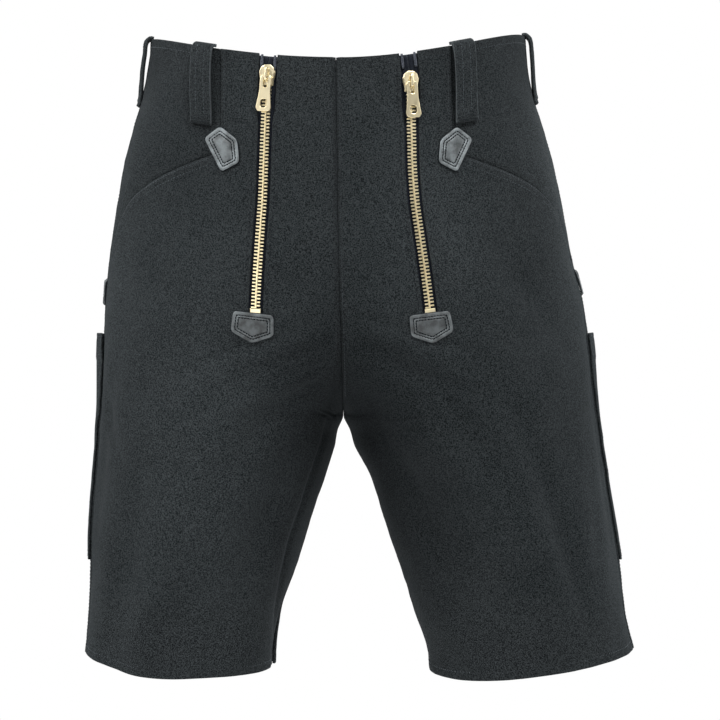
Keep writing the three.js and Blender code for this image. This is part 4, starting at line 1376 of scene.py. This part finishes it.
# Zips
TAPE_LIFT, TAPE_HALF, TAPE_CLOTH = -2.4, 13, 0.9
SHIELD_LIFT, SHIELD_HALF = -3.7, 15.5
CHAIN_LIFT = -1.0
STOP_LOW, STOP_HIGH = ZIP_BOTTOM_Z + 0.8, ZIP_BOTTOM_Z + 6
SLIDER_Z = {"right": -43.5, "left": -48.5}
SLIDER_DOWN, SLIDER_TOP = 10.5, 2.2
PULL_LEAN = {"right": -3, "left": 3}


def zip_place(side, across, z, lift):
    across, z = np.broadcast_arrays(np.asarray(across, float), np.asarray(z, float))
    return on_cloth(side, front_turn_at(side, zip_line(side, z) + across, z), z, lift)


def zip_frames(side, levels, across=0.0, lift=0.0):
    """Frames on the zip line: X across it to +X, Y up along it, Z straight out."""
    levels = np.asarray(levels, float)
    origin = zip_place(side, across, levels, lift)
    up = unit(zip_place(side, across, levels + 4, lift) - zip_place(side, across, levels - 4, lift))
    turn = front_turn_at(side, zip_line(side, levels), levels)
    out = outwards(side, turn, levels, smooth_point(side, turn, levels))
    right = unit(np.cross(up, out))
    return origin, np.stack([right, up, np.cross(right, up)], axis=1)


class SHORTS_OT_zip_cloth(bpy.types.Operator):
    """Makes the zip tapes with their turned ends, and the cloth shield behind each zip"""

    bl_idname = "shorts.zip_cloth"
    bl_label = "Zip tapes and shields"
    TAPE_CUT = (0.0135, 0.21)
    SHIELD_CUT = (0.031, 0.212)
    ROLL_AT = (5.4, 5.2)  # the rolls' distance from the zip line, at their lower and upper ends
    ROLL_SPAN = (12, 0.6)  # how far their ends lie below the waist edge
    ROLL_WIDE, ROLL_DEEP, ROLL_LIFT = 2.5, 1.7, -1.1

    def execute(self, context):
        for side in SIDES:
            self.strip(side, "shield", (-SHIELD_HALF, SHIELD_HALF), SHIELD_LIFT, sizes().cloth)
            for way, label in ((-1, "inner"), (1, "outer")):
                self.strip(side, label, (way * 0.15, way * TAPE_HALF), TAPE_LIFT, TAPE_CLOTH)
            self.tape_ends(side)
        return {"FINISHED"}

    def strip(self, side, label, span, lift, thickness):
        levels = steps_between([ZIP_BOTTOM_Z - 7, 0], 3.5)
        share = (levels - levels[0]) / (levels[-1] - levels[0])
        across = np.linspace(span[0], span[1], 9)
        top = waist_line(side, front_turn_at(side, zip_line(side, ZIP_TOP_Z) + across, ZIP_TOP_Z)) - 1.4
        z = levels[0] + share[:, None] * (top[None, :] - levels[0])
        points = zip_place(side, across[None, :], z, lift)
        bm = woven_grid(points, None, (0, -1, 0))
        shield = label == "shield"
        node = "zip_shield" if shield else f"zip_tape_{label}"
        cut = self.SHIELD_CUT if shield else self.TAPE_CUT
        kind = {"cloth": "Zip tape", "thickness": thickness, "slot": "black_twill" if shield else "zip_tape"}
        sew(f"{node}_cloth_{side}", bm, cut, f"{node}_{side}", **kind)

    def tape_ends(self, side):
        """The tapes' top ends are folded back and stand as two small rolls beside the slider."""
        bm = bmesh.new()
        low, high = self.ROLL_SPAN
        for way in (-1, 1):
            x = zip_line(side, float(ZIP_TOP_Z)) + way * self.ROLL_AT[1]
            top = float(waist_line(side, front_turn_at(side, x, ZIP_TOP_Z)))
            z = np.linspace(top - low, top - high, 10)
            start = len(bm.verts)
            bmesh.ops.create_cone(bm, cap_ends=True, segments=10, radius1=0.5, radius2=0.5, depth=1)
            edges = [e for e in bm.edges if abs(e.verts[0].co.z - e.verts[1].co.z) > 0.5]
            bmesh.ops.subdivide_edges(bm, edges=edges, cuts=8, use_grid_fill=False)
            bm.verts.ensure_lookup_table()
            for vert in bm.verts[start:]:
                share = vert.co.z + 0.5
                level = np.interp(share, np.linspace(0, 1, 10), z)
                wide = self.ROLL_WIDE * (0.75 + 0.25 * math.sin(math.pi * min(share * 1.2, 1)))
                middle = way * mix(*self.ROLL_AT, share) + vert.co.x * wide
                vert.co = zip_place(side, middle, level, self.ROLL_LIFT + vert.co.y * self.ROLL_DEEP) * MM
        bmesh.ops.recalc_face_normals(bm, faces=bm.faces[:])
        piece = finish_piece(f"zip_tape_ends_{side}", bm, "Tape end")
        settle(piece, "zip_tape")


class SHORTS_OT_zip_chain(bpy.types.Operator):
    """Closes the two rows of brass teeth and adds the bottom stops"""

    bl_idname = "shorts.zip_chain"
    bl_label = "Zip teeth and stops"
    # Width, height and depth
    TOOTH = (2.9, 1.25, 2.0)  # the part that shows beside the ridge of closed heads
    HEAD = (1.4, 1.38, 2.3)
    STOP = (8.3, STOP_HIGH - STOP_LOW, 2.2)

    def execute(self, context):
        for side in SIDES:
            pitch = sizes().tooth_pitch
            low, high = STOP_HIGH + 0.9, SLIDER_Z[side] - SLIDER_DOWN + 5
            count = int((high - low) / pitch)
            frames = []
            for way, shift in ((-1, 0.0), (1, 0.5)):
                levels = low + (np.arange(count) + shift) * pitch
                origin, axes = zip_frames(side, levels, 0, CHAIN_LIFT)
                axes = axes.copy()
                axes[:, 0] *= way
                axes[:, 1] *= way
                frames.append((origin, axes))
            piece = scatter(f"zip_teeth_{side}", self.tooth(), joined(frames), "Polished brass", False)
            settle(piece, "brass", f"zip_chain_{side}")
            self.stop(side)
        return {"FINISHED"}

    @staticmethod
    def round_off(bm, edges, offset, segments):
        shape = {"profile": 0.5, "affect": "EDGES", "material": -1}
        bmesh.ops.bevel(bm, geom=edges, offset=offset, segments=segments, **shape)

    def tooth(self):
        """A cast tooth: a head on the middle line and a foot that reaches out over the tape."""
        bm = bmesh.new()
        foot, head = self.TOOTH, self.HEAD
        for (width, tall, deep), middle in ((foot, ZIP_CHAIN_HALF - foot[0] / 2), (head, 0)):
            made = set(bmesh.ops.create_cube(bm, size=1)["verts"])
            for vert in made:
                x, y, z = vert.co
                vert.co = (x * width + middle, y * tall, z * deep + (deep - foot[2]) / 2)
            self.round_off(bm, [e for e in bm.edges if e.verts[0] in made], 0.18, 1)
        bmesh.ops.recalc_face_normals(bm, faces=bm.faces[:])
        return bm

    def stop(self, side):
        origin, axes = zip_frames(side, [(STOP_LOW + STOP_HIGH) / 2], 0, CHAIN_LIFT + 0.2)
        bm = bmesh.new()
        bmesh.ops.create_cube(bm, size=1)
        for vert in bm.verts:
            vert.co = [place * size for place, size in zip(vert.co, self.STOP)]
        self.round_off(bm, bm.edges[:], 0.35, 2)
        bmesh.ops.recalc_face_normals(bm, faces=bm.faces[:])
        piece = scatter(f"zip_stop_block_{side}", bm, (origin, axes), "Polished brass", False)
        settle(piece, "brass", f"zip_stop_{side}")


def rounded(corners, radius, count=4):
    """Points of a polygon's outline with rounded corners."""
    points = []
    corners = [Vector(c) for c in corners]
    for i, corner in enumerate(corners):
        before, after = corners[i - 1], corners[(i + 1) % len(corners)]
        start = corner + (before - corner).normalized() * radius
        end = corner + (after - corner).normalized() * radius
        for step in range(count + 1):
            share = step / count
            points.append(start.lerp(corner, share).lerp(corner.lerp(end, share), share))
    return points


def mirrored(points):
    return [(-x, y) for x, y in reversed(points)]


def cut_plate(name, outline, holes, thickness, edge, frame_axes, lift=0.0):
    """A flat brass plate with round-edged outline and holes, made from a filled curve and set in a frame."""
    curve = bpy.data.curves.new(name, "CURVE")
    curve.dimensions = "2D"
    curve.fill_mode = "BOTH"
    curve.extrude = thickness / 2 - edge
    curve.bevel_depth = edge
    curve.bevel_resolution = 2
    curve.offset = -edge
    for ring in [outline, *holes]:
        spline = curve.splines.new("POLY")
        spline.points.add(len(ring) - 1)
        for point, spot in zip(spline.points, ring):
            point.co = (spot[0], spot[1], 0, 1)
        spline.use_cyclic_u = True
    source = bpy.data.objects.new(name + "_curve", curve)
    bpy.context.scene.collection.objects.link(source)
    bpy.context.view_layer.update()
    mesh = bpy.data.meshes.new_from_object(source.evaluated_get(bpy.context.evaluated_depsgraph_get()))
    bpy.data.objects.remove(source)
    bpy.data.curves.remove(curve)
    bm = bmesh.new()
    bm.from_mesh(mesh)
    bpy.data.meshes.remove(mesh)
    bmesh.ops.remove_doubles(bm, verts=bm.verts[:], dist=0.001)
    origin, axes = frame_axes
    for vert in bm.verts:
        local = np.array([vert.co.x, vert.co.y, vert.co.z + lift])
        vert.co = (origin + local @ axes) * MM
    bmesh.ops.recalc_face_normals(bm, faces=bm.faces[:])
    return finish_piece(name, bm, "Slider brass", smooth=None)


def slider_frame(side):
    origin, axes = zip_frames(side, [SLIDER_Z[side]])
    return origin[0], axes[0]


def pull_frame(side):
    """The pull's frame comes from its joint: its pivot, and its axis, which runs across the zip."""
    joint = next(j for j in frame["joints"] if j["child"] == f"zip_pull_{side}")
    pivot = np.array(joint["pos_m"]) / MM
    across = -unit(np.array(joint["axis"], float))
    _, axes = slider_frame(side)
    up = unit(axes[1] - across * np.dot(axes[1], across))
    out = np.cross(across, up)
    lean, droop = PULL_LEAN[side] * DEGREE, 3 * DEGREE
    up, out = up * math.cos(droop) + out * math.sin(droop), out * math.cos(droop) - up * math.sin(droop)
    across, up = across * math.cos(lean) + up * math.sin(lean), up * math.cos(lean) - across * math.sin(lean)
    return pivot, np.stack([across, up, out])


class SHORTS_OT_sliders(bpy.types.Operator):
    """Makes the brass sliders with their bridges, and the pulls that hang from them"""

    bl_idname = "shorts.sliders"
    bl_label = "Zip sliders and pulls"
    BODY = [(-6.3, 2.2), (-5.2, 6.2), (-2.6, 8.4), (2.6, 8.4), (5.2, 6.2), (6.3, 2.2)]
    BODY += [(5.6, -2), (5, -4), (5, -8.2)]
    PULL = [(-3.4, 0.9), (3.4, 0.9), (4.7, -1.5), (4.5, -12), (6.3, -25.4), (4.7, -28.1)]
    PULL_SLOT = [(-1.6, -0.8), (-1.6, -9), (1.6, -9), (1.6, -0.8)]
    PULL_EYE = [(-2.6, -18.4), (-2.6, -25), (2.6, -25), (2.6, -18.4)]

    def execute(self, context):
        for side in SIDES:
            node = f"zip_slider_{side}"
            at = slider_frame(side)
            plate = rounded(self.BODY + mirrored(self.BODY[6:]), 0.9)
            top = cut_plate(f"zip_slider_top_{side}", plate, [], 1.5, 0.6, at, SLIDER_TOP - 0.75)
            settle(top, "brass", node)
            settle(cut_plate(f"zip_slider_base_{side}", plate, [], 1.2, 0.4, at, -1.4), "brass", node)
            settle(self.bridge(side, *at), "brass", node)
            pull = rounded(self.PULL + mirrored(self.PULL[2:]), 1.1)
            holes = [rounded(self.PULL_SLOT, 0.7), rounded(self.PULL_EYE, 2.1)]
            tab = cut_plate(f"zip_pull_tab_{side}", pull, holes, 1.6, 0.45, pull_frame(side))
            settle(tab, "brass", f"zip_pull_{side}", body=f"zip_pull_{side}")
        return {"FINISHED"}

    def bridge(self, side, origin, axes):
        """A bent strip that starts at the head, arches over the pull's bar and ends in a rounded foot."""
        outline = rounded([(-5.4, -0.4), (5.5, -0.4), (5.5, 4.4), (-5.4, 4.4)], 1.8)
        hole = rounded([(-4.2, 0), (4.3, 0), (4.3, 3.2), (-4.2, 3.2)], 0.7)
        upright = (origin + axes[2] * SLIDER_TOP, np.stack([axes[1], axes[2], axes[0]]))
        return cut_plate(f"zip_slider_bridge_{side}", outline, [hole], 2.1, 0.5, upright)


# Leather tips, as corners for the wearer's left: the right ones are mirrored.
ZIP_TIP = [(-16.6, 9.1), (15.2, 12.9), (18, -3.2), (1.8, -13), (-15.8, -7.3)]
ZIP_TIP_SHIFT = {"right": 1.9, "left": -0.5}
POCKET_TIP = [(2.6, 16.6), (15.3, 7.2), (2.1, -20.2), (-12.7, -12.9), (-11, 5.3)]
SIDE_TIP = [(-1, 12), (6, 7), (7, -9), (-6, -11), (-7, 5)]
POCKET_TIP_X = {"right": 89.5, "left": 92.5}
SIDE_TIP_Z = {"right": -212.5, "left": -204.5}


def inset(corners, distance):
    """The corners of a convex polygon moved in by a distance from every edge."""
    points = [Vector(c) for c in corners]
    middle = sum(points, Vector((0, 0))) / len(points)
    moved = []
    for i, point in enumerate(points):
        ways = []
        for a, b in ((points[i - 1], point), (point, points[(i + 1) % len(points)])):
            way = (b - a).orthogonal().normalized()
            ways.append(way if way.dot(middle - point) > 0 else -way)
        moved.append(point + (ways[0] + ways[1]) * distance / (1 + ways[0].dot(ways[1])))
    return moved


def front_spot(side, x, z):
    """Places of a tip that is flat as seen from the front."""

    def place(spots, height):
        across, up = np.array(spots).T
        level = z + up
        return on_cloth(side, front_turn_at(side, x + SIDES[side] * across, level), level, height)

    return place


def side_spot(side, turn, z):
    """Places of a tip that follows the cloth round."""

    def place(spots, height):
        across, up = np.array(spots).T
        level = z + up
        return on_cloth(side, turn_beside(side, turn, level, across), level, height)

    return place


def tip_spots():
    for side in SIDES:
        zip_x = zip_line(side, ZIP_BOTTOM_Z) + ZIP_TIP_SHIFT[side]
        yield "zip_tip", side, front_spot(side, zip_x, ZIP_BOTTOM_Z - 8.5), ZIP_TIP, "Leather in painted shade", 0.3
        pocket = front_spot(side, POCKET_TIP_X[side], POCKET_TOP_Z + 3.6)
        yield "pocket_tip", side, pocket, POCKET_TIP, "Black leather", 0.3
        at_side = side_spot(side, -10 * DEGREE, SIDE_TIP_Z[side])
        yield "side_tip", side, at_side, SIDE_TIP, "Leather in painted shade", 0.5


class SHORTS_OT_leather_tips(bpy.types.Operator):
    """Makes the leather tips at the ends of the zips and pocket mouths, sewn on with two rows of stitches"""

    bl_idname = "shorts.leather_tips"
    bl_label = "Leather tips"
    # Distance in from the edge, and height above the cloth
    PROFILE = [(-0.5, 0), (-0.5, 0.5), (-0.1, 0.85), (0.1, 1.3), (0.5, 1.6), (1.1, 1.72), (2, 1.66)]
    PROFILE += [(2.5, 1.5), (2.9, 0.95), (3.3, 1.5), (3.9, 1.66), (4.5, 1.5), (4.9, 0.95), (5.3, 1.45)]
    PROFILE += [(6, 1.6), (7, 1.66)]
    PAINTED_SHADE_RINGS = (0, 1, 2, 8, 12)  # painted shadow along the edge and painted shade at the bottoms of the stitch grooves, in the near-black thread colour
    RIM_RINGS = 12  # the rings out to the inner stitches take the lighter rim leather
    STITCH_ROWS = (2.9, 4.9)

    def execute(self, context):
        stitches = []
        for label, side, place, corners, leather, lift in tip_spots():
            corners = [(SIDES[side] * x, y) for x, y in corners]
            small = label == "side_tip"
            profile = [p for p in self.PROFILE if not small or p[0] < 4.4]
            rings = []
            for distance, height in profile:
                ring = rounded(inset(corners, distance), max(3.2 - distance * 0.45, 0.6))
                rings.append(place(ring, lift + height))
            middle = np.mean(rings[-1], axis=0)
            rings += [middle + (rings[len(profile) - 1] - middle) * share for share in (0.6, 0.3, 0.0)]
            grid = np.stack(rings)
            bm = woven_grid(np.concatenate([grid, grid[:, :1]], axis=1))
            sewn = min(self.RIM_RINGS, len(profile) - 1)
            for index, face in enumerate(bm.faces):
                ring = index // grid.shape[1]
                # The edge rings and the groove bottoms are painted near black as shadow and shade.
                face.material_index = 1 if ring in self.PAINTED_SHADE_RINGS else 2 if ring < sewn else 0
            bmesh.ops.remove_doubles(bm, verts=bm.verts[:], dist=1e-6)
            bm.normal_update()
            out = unit(np.mean(place(corners, 2) - place(corners, 0), axis=0))
            if sum(f.normal.dot(Vector(out)) * f.calc_area() for f in bm.faces) < 0:
                bmesh.ops.reverse_faces(bm, faces=bm.faces[:])
            piece = finish_piece(f"{label}_leather_{side}", bm, leather)
            piece.data.materials.append(material("Dark thread and painted shade"))
            piece.data.materials.append(material(f"{leather} rim"))
            settle(piece, "black_leather", f"{label}_{side}")
            for distance in self.STITCH_ROWS[: 1 if small else 2]:
                ring = rounded(inset(corners, distance), 0.8)
                row = place(ring + ring[:1], lift + 1.3)
                stitches.append(stitch_frames(row, np.repeat(out[None], len(row), axis=0), 2.35, 0))
        piece = scatter("tip_stitches", thread_bead(2.0, 1.35, 0.8), joined(stitches), "Dark thread and painted shade")
        settle(piece, "black_leather")
        return {"FINISHED"}


class SHORTS_OT_stitching(bpy.types.Operator):
    """Sews the stitch rows along the seams, pockets, zips, waist and hems"""

    bl_idname = "shorts.stitching"
    bl_label = "Seam stitching"
    BAR_SPAN = (69.5, 84.5)
    BAR_RISE = {"right": (-79.2, -76.7), "left": (-80.5, -75.5)}  # levels of the bar tacks at their two ends
    # How far the rows lie from the edge or seam that they follow
    ZIP_ROW, HIP_ROW, FRONT_SEAM_ROW = 3.2, 2.6, 2.2
    MOUTH_ROWS, SIDE_ROWS, BACK_ROWS = (2.0, 7.0), (2.2, 7.6), (2.2, 7.2)
    HEM_FOLD_ROW, WAIST_FOLD_ROW = 6.6, 6.8
    # Where the rows of the rule pockets lie, as shares of their width and height
    PATCH_SIDE_ROWS = (0.03, 0.97)
    PATCH_LEVEL_ROWS = (0.015, 0.905, 0.985)

    def execute(self, context):
        frames = []
        dark = []
        for side in SIDES:
            dark += self.zip_rows(side) + self.bar_tacks(side)
            frames += self.hip_rows(side)
            frames += self.front_rows(side)
            frames += self.side_rows(side)
            frames += self.edge_rows(side)
            frames += self.pocket_rows(side)
        bead = thread_bead(sizes().stitch_pitch * 0.72, 0.7, 0.5)
        settle(scatter("seam_stitches", bead, joined(frames), "Black thread"), "black_twill")
        bead = thread_bead(2.3, 0.9, 0.5)
        settle(scatter("zip_stitches", bead, joined(dark), "Dark thread and painted shade"), "black_twill")
        return {"FINISHED"}

    def row(self, side, turns, levels, lift=0.02, pitch=None, skip=1.0):
        points, outs = cloth_path(side, turns, levels, lift)
        return stitch_frames(points, outs, pitch or sizes().stitch_pitch, skip)

    def zip_rows(self, side):
        z = steps_between([ZIP_BOTTOM_Z + 3, ZIP_TOP_Z - 3], 4)
        rows = []
        for way in (-1, 1):
            x = zip_line(side, z) + way * (zip_slot_half(z) + self.ZIP_ROW)
            rows.append(self.row(side, front_turn_at(side, x, z), z, pitch=3.8))
        return rows

    def bar_tacks(self, side):
        """Two short rows that hold the flap's end beside the zip."""
        x = np.linspace(*self.BAR_SPAN, 12)
        rise = mix(*self.BAR_RISE[side], np.linspace(0, 1, 12))
        levels = [rise + step for step in (0.0, -2.5)]
        return [self.row(side, front_turn_at(side, x, z), z, pitch=2.0) for z in levels]

    def hip_rows(self, side):
        z = steps_between([POCKET_TOP_Z + 16, -21], 4)
        return [self.row(side, front_turn_at(side, HIP_SEAM_X - self.HIP_ROW, z), z)]

    def front_rows(self, side):
        rows = []
        z = steps_between([-300, -38], 4)
        if side == "left":
            rows.append(self.row(side, front_turn_at(side, self.FRONT_SEAM_ROW, z), z))
        for distance in self.MOUTH_ROWS:
            share = np.linspace(0.06, 0.97, 60)
            level = pocket_line(share) - distance * pocket_stretch(share)
            start = front_turn_at(side, HIP_SEAM_X, level)
            rows.append(self.row(side, mix(start, side_seam_turn(level), share), level))
        return rows

    def side_rows(self, side):
        z = steps_between([-512, -4], 4)
        rows = []
        for distance in self.SIDE_ROWS:
            rows.append(self.row(side, turn_after(side, side_seam_turn(z), z, distance), z))
        if side == "left":
            z = steps_between([-280, -8], 4)
            for distance in self.BACK_ROWS:
                rows.append(self.row(side, turn_after(side, end_turns(side, z)[1], z, -distance), z))
        return rows

    def edge_rows(self, side):
        rows = []
        seam = float(side_seam_turn(-515.0))
        for low, high in ((-math.pi + 0.03, seam - 0.02), (seam + 0.02, math.pi - 0.03)):
            turn = np.linspace(low, high, 90)
            rows.append(self.row(side, turn, hem_line(side, turn) + self.HEM_FOLD_ROW))
        # The waist row stops short of each side of the zip.
        centre = float(end_turns(side, -30.0)[0]) + 0.01
        at_zip = zip_line(side, -33.0)
        zip_in, zip_out = [float(front_turn_at(side, at_zip + way * 11, -33.0)) for way in (-1, 1)]
        hip = float(front_turn_at(side, HIP_SEAM_X, -30.0))
        back = float(end_turns(side, 0.0)[1]) - 0.01
        seam = float(side_seam_turn(0.0))
        for low, high in ((centre, zip_in), (zip_out, hip - 0.03), (hip + 0.03, seam), (seam + 0.02, back)):
            turn = np.linspace(low, high, 60)
            rows.append(self.row(side, turn, waist_line(side, turn) - self.WAIST_FOLD_ROW))
        return rows

    def pocket_rows(self, side):
        rows = []
        lift = sizes().cloth + 0.02
        run = np.linspace(0.01, 0.99, 60)
        for across in self.PATCH_SIDE_ROWS:
            turn, z, stand = rule_places(side, [across], run)
            rows.append(self.row(side, turn[:, 0], z[:, 0], stand[:, 0] + lift))
        for up in self.PATCH_LEVEL_ROWS:
            turn, z, stand = rule_places(side, run, [up])
            rows.append(self.row(side, turn[0], z[0], stand[0] + lift + (0.3 if up > 0.5 else 0)))
        return rows


class SHORTS_OT_stage(bpy.types.Operator):
    """Sets up the pale floor, the soft studio light and the camera"""

    bl_idname = "shorts.stage"
    bl_label = "Studio"
    # Place, aim, width, height and power of each soft light, in metres and watts
    LIGHTS = [
        ((-2.3, 0.25, 0.5), (0, 0, -0.28), 0.8, 1.6, 27),
        ((2.3, 0.25, 0.5), (0, 0, -0.28), 0.8, 1.6, 32),
        ((0.9, -1.5, 2.2), (0, 0, -0.28), 1.0, 1.0, 88),
        ((-1.7, -1.1, 1.6), (-0.1, 0, -0.35), 0.8, 0.8, 54),
        ((-0.9, -2.6, -0.8), (-0.1, 0, -0.4), 2.6, 2.6, 32),
        ((0.4, 2.2, 1.5), (0, 0, -0.28), 1.6, 1.6, 60),
    ]
    ROOM = 0.2  # brightness of the room round the white backdrop
    FLOOR_DROP, FLOOR_HALF = 0.55, 2.2  # how far below the shorts the floor lies, and half its width
    BACKDROP = (0.88, 0.96)  # cosines of the angles where the white starts and is full

    def execute(self, context):
        scene = context.scene
        scene.view_settings.view_transform = "Standard"
        camera = bpy.data.objects.new("Camera", bpy.data.cameras.new("Camera"))
        camera.data.lens = CAMERA_LENS
        camera.data.sensor_width = 36
        camera.location = Vector(CAMERA_POSITION) * MM
        camera.rotation_euler = (math.pi / 2, 0, 0)
        scene.collection.objects.link(camera)
        scene.camera = camera
        world = bpy.data.worlds.new("Studio white")
        world.use_nodes = True
        self.surround(world.node_tree)
        scene.world = world
        for index, (place, aim, width, height, power) in enumerate(self.LIGHTS):
            light = bpy.data.lights.new(f"Softbox {index + 1}", "AREA")
            light.shape = "RECTANGLE"
            light.size, light.size_y, light.energy = width, height, power
            lamp = bpy.data.objects.new(light.name, light)
            lamp.location = place
            lamp.rotation_euler = (Vector(aim) - Vector(place)).to_track_quat("-Z", "Y").to_euler()
            scene.collection.objects.link(lamp)
        self.floor(scene)
        return {"FINISHED"}

    def surround(self, tree):
        """White straight behind the shorts and dimmer all round, where the soft lights stand."""
        look = tree.nodes.new("ShaderNodeTexCoord").outputs["Generated"]
        way = add_node(tree, "SeparateXYZ", {0: look})
        near, full = self.BACKDROP
        limits = {"From Min": near, "From Max": full, "To Min": self.ROOM, "To Max": 1.0}
        fade = add_node(tree, "MapRange", {"Value": way.outputs["Y"], **limits})
        tree.nodes["Background"].inputs["Color"].default_value = (1, 1, 1, 1)
        tree.links.new(fade.outputs["Result"], tree.nodes["Background"].inputs["Strength"])

    def floor(self, scene):
        """A plain pale floor, well below the shorts and out of the camera's view."""
        bm = bmesh.new()
        level = Matrix.Translation((0, 0, cad_box[0].z - self.FLOOR_DROP))
        bmesh.ops.create_grid(bm, x_segments=8, y_segments=8, size=self.FLOOR_HALF, matrix=level)
        shell_material("Pale floor", (0.8, 0.8, 0.8), 0.9)
        finish_piece("Floor", bm, "Pale floor")


PIECES = (
    SHORTS_OT_materials,
    SHORTS_OT_fronts,
    SHORTS_OT_hips,
    SHORTS_OT_backs,
    SHORTS_OT_seam_allowances,
    SHORTS_OT_rule_pockets,
    SHORTS_OT_belt_loops,
    SHORTS_OT_zip_cloth,
    SHORTS_OT_zip_chain,
    SHORTS_OT_sliders,
    SHORTS_OT_leather_tips,
    SHORTS_OT_stitching,
    SHORTS_OT_stage,
)


class SHORTS_PT_panel(bpy.types.Panel):
    """Lists the pieces of the shorts in the sidebar"""

    bl_idname = "SHORTS_PT_panel"
    bl_label = "Bermuda work shorts"
    bl_space_type = "VIEW_3D"
    bl_region_type = "UI"
    bl_category = "Shorts"

    def draw(self, context):
        layout = self.layout
        for group in (context.scene.shorts_sizes, context.scene.shorts_colours):
            for name in group.bl_rna.properties.keys():
                if name not in {"rna_type", "name"}:
                    layout.prop(group, name)
        for piece in PIECES:
            layout.operator(piece.bl_idname)


CLASSES = (ShortsSizes, ShortsColours, *PIECES, SHORTS_PT_panel)


def register():
    for cls in CLASSES:
        bpy.utils.register_class(cls)
    bpy.types.Scene.shorts_sizes = PointerProperty(type=ShortsSizes)
    bpy.types.Scene.shorts_colours = PointerProperty(type=ShortsColours)


def unregister():
    del bpy.types.Scene.shorts_colours
    del bpy.types.Scene.shorts_sizes
    for cls in reversed(CLASSES):
        bpy.utils.unregister_class(cls)


def main():
    register()
    for piece in PIECES:
        group, name = piece.bl_idname.split(".")
        getattr(getattr(bpy.ops, group), name)()


if __name__ == "__main__":
    main()
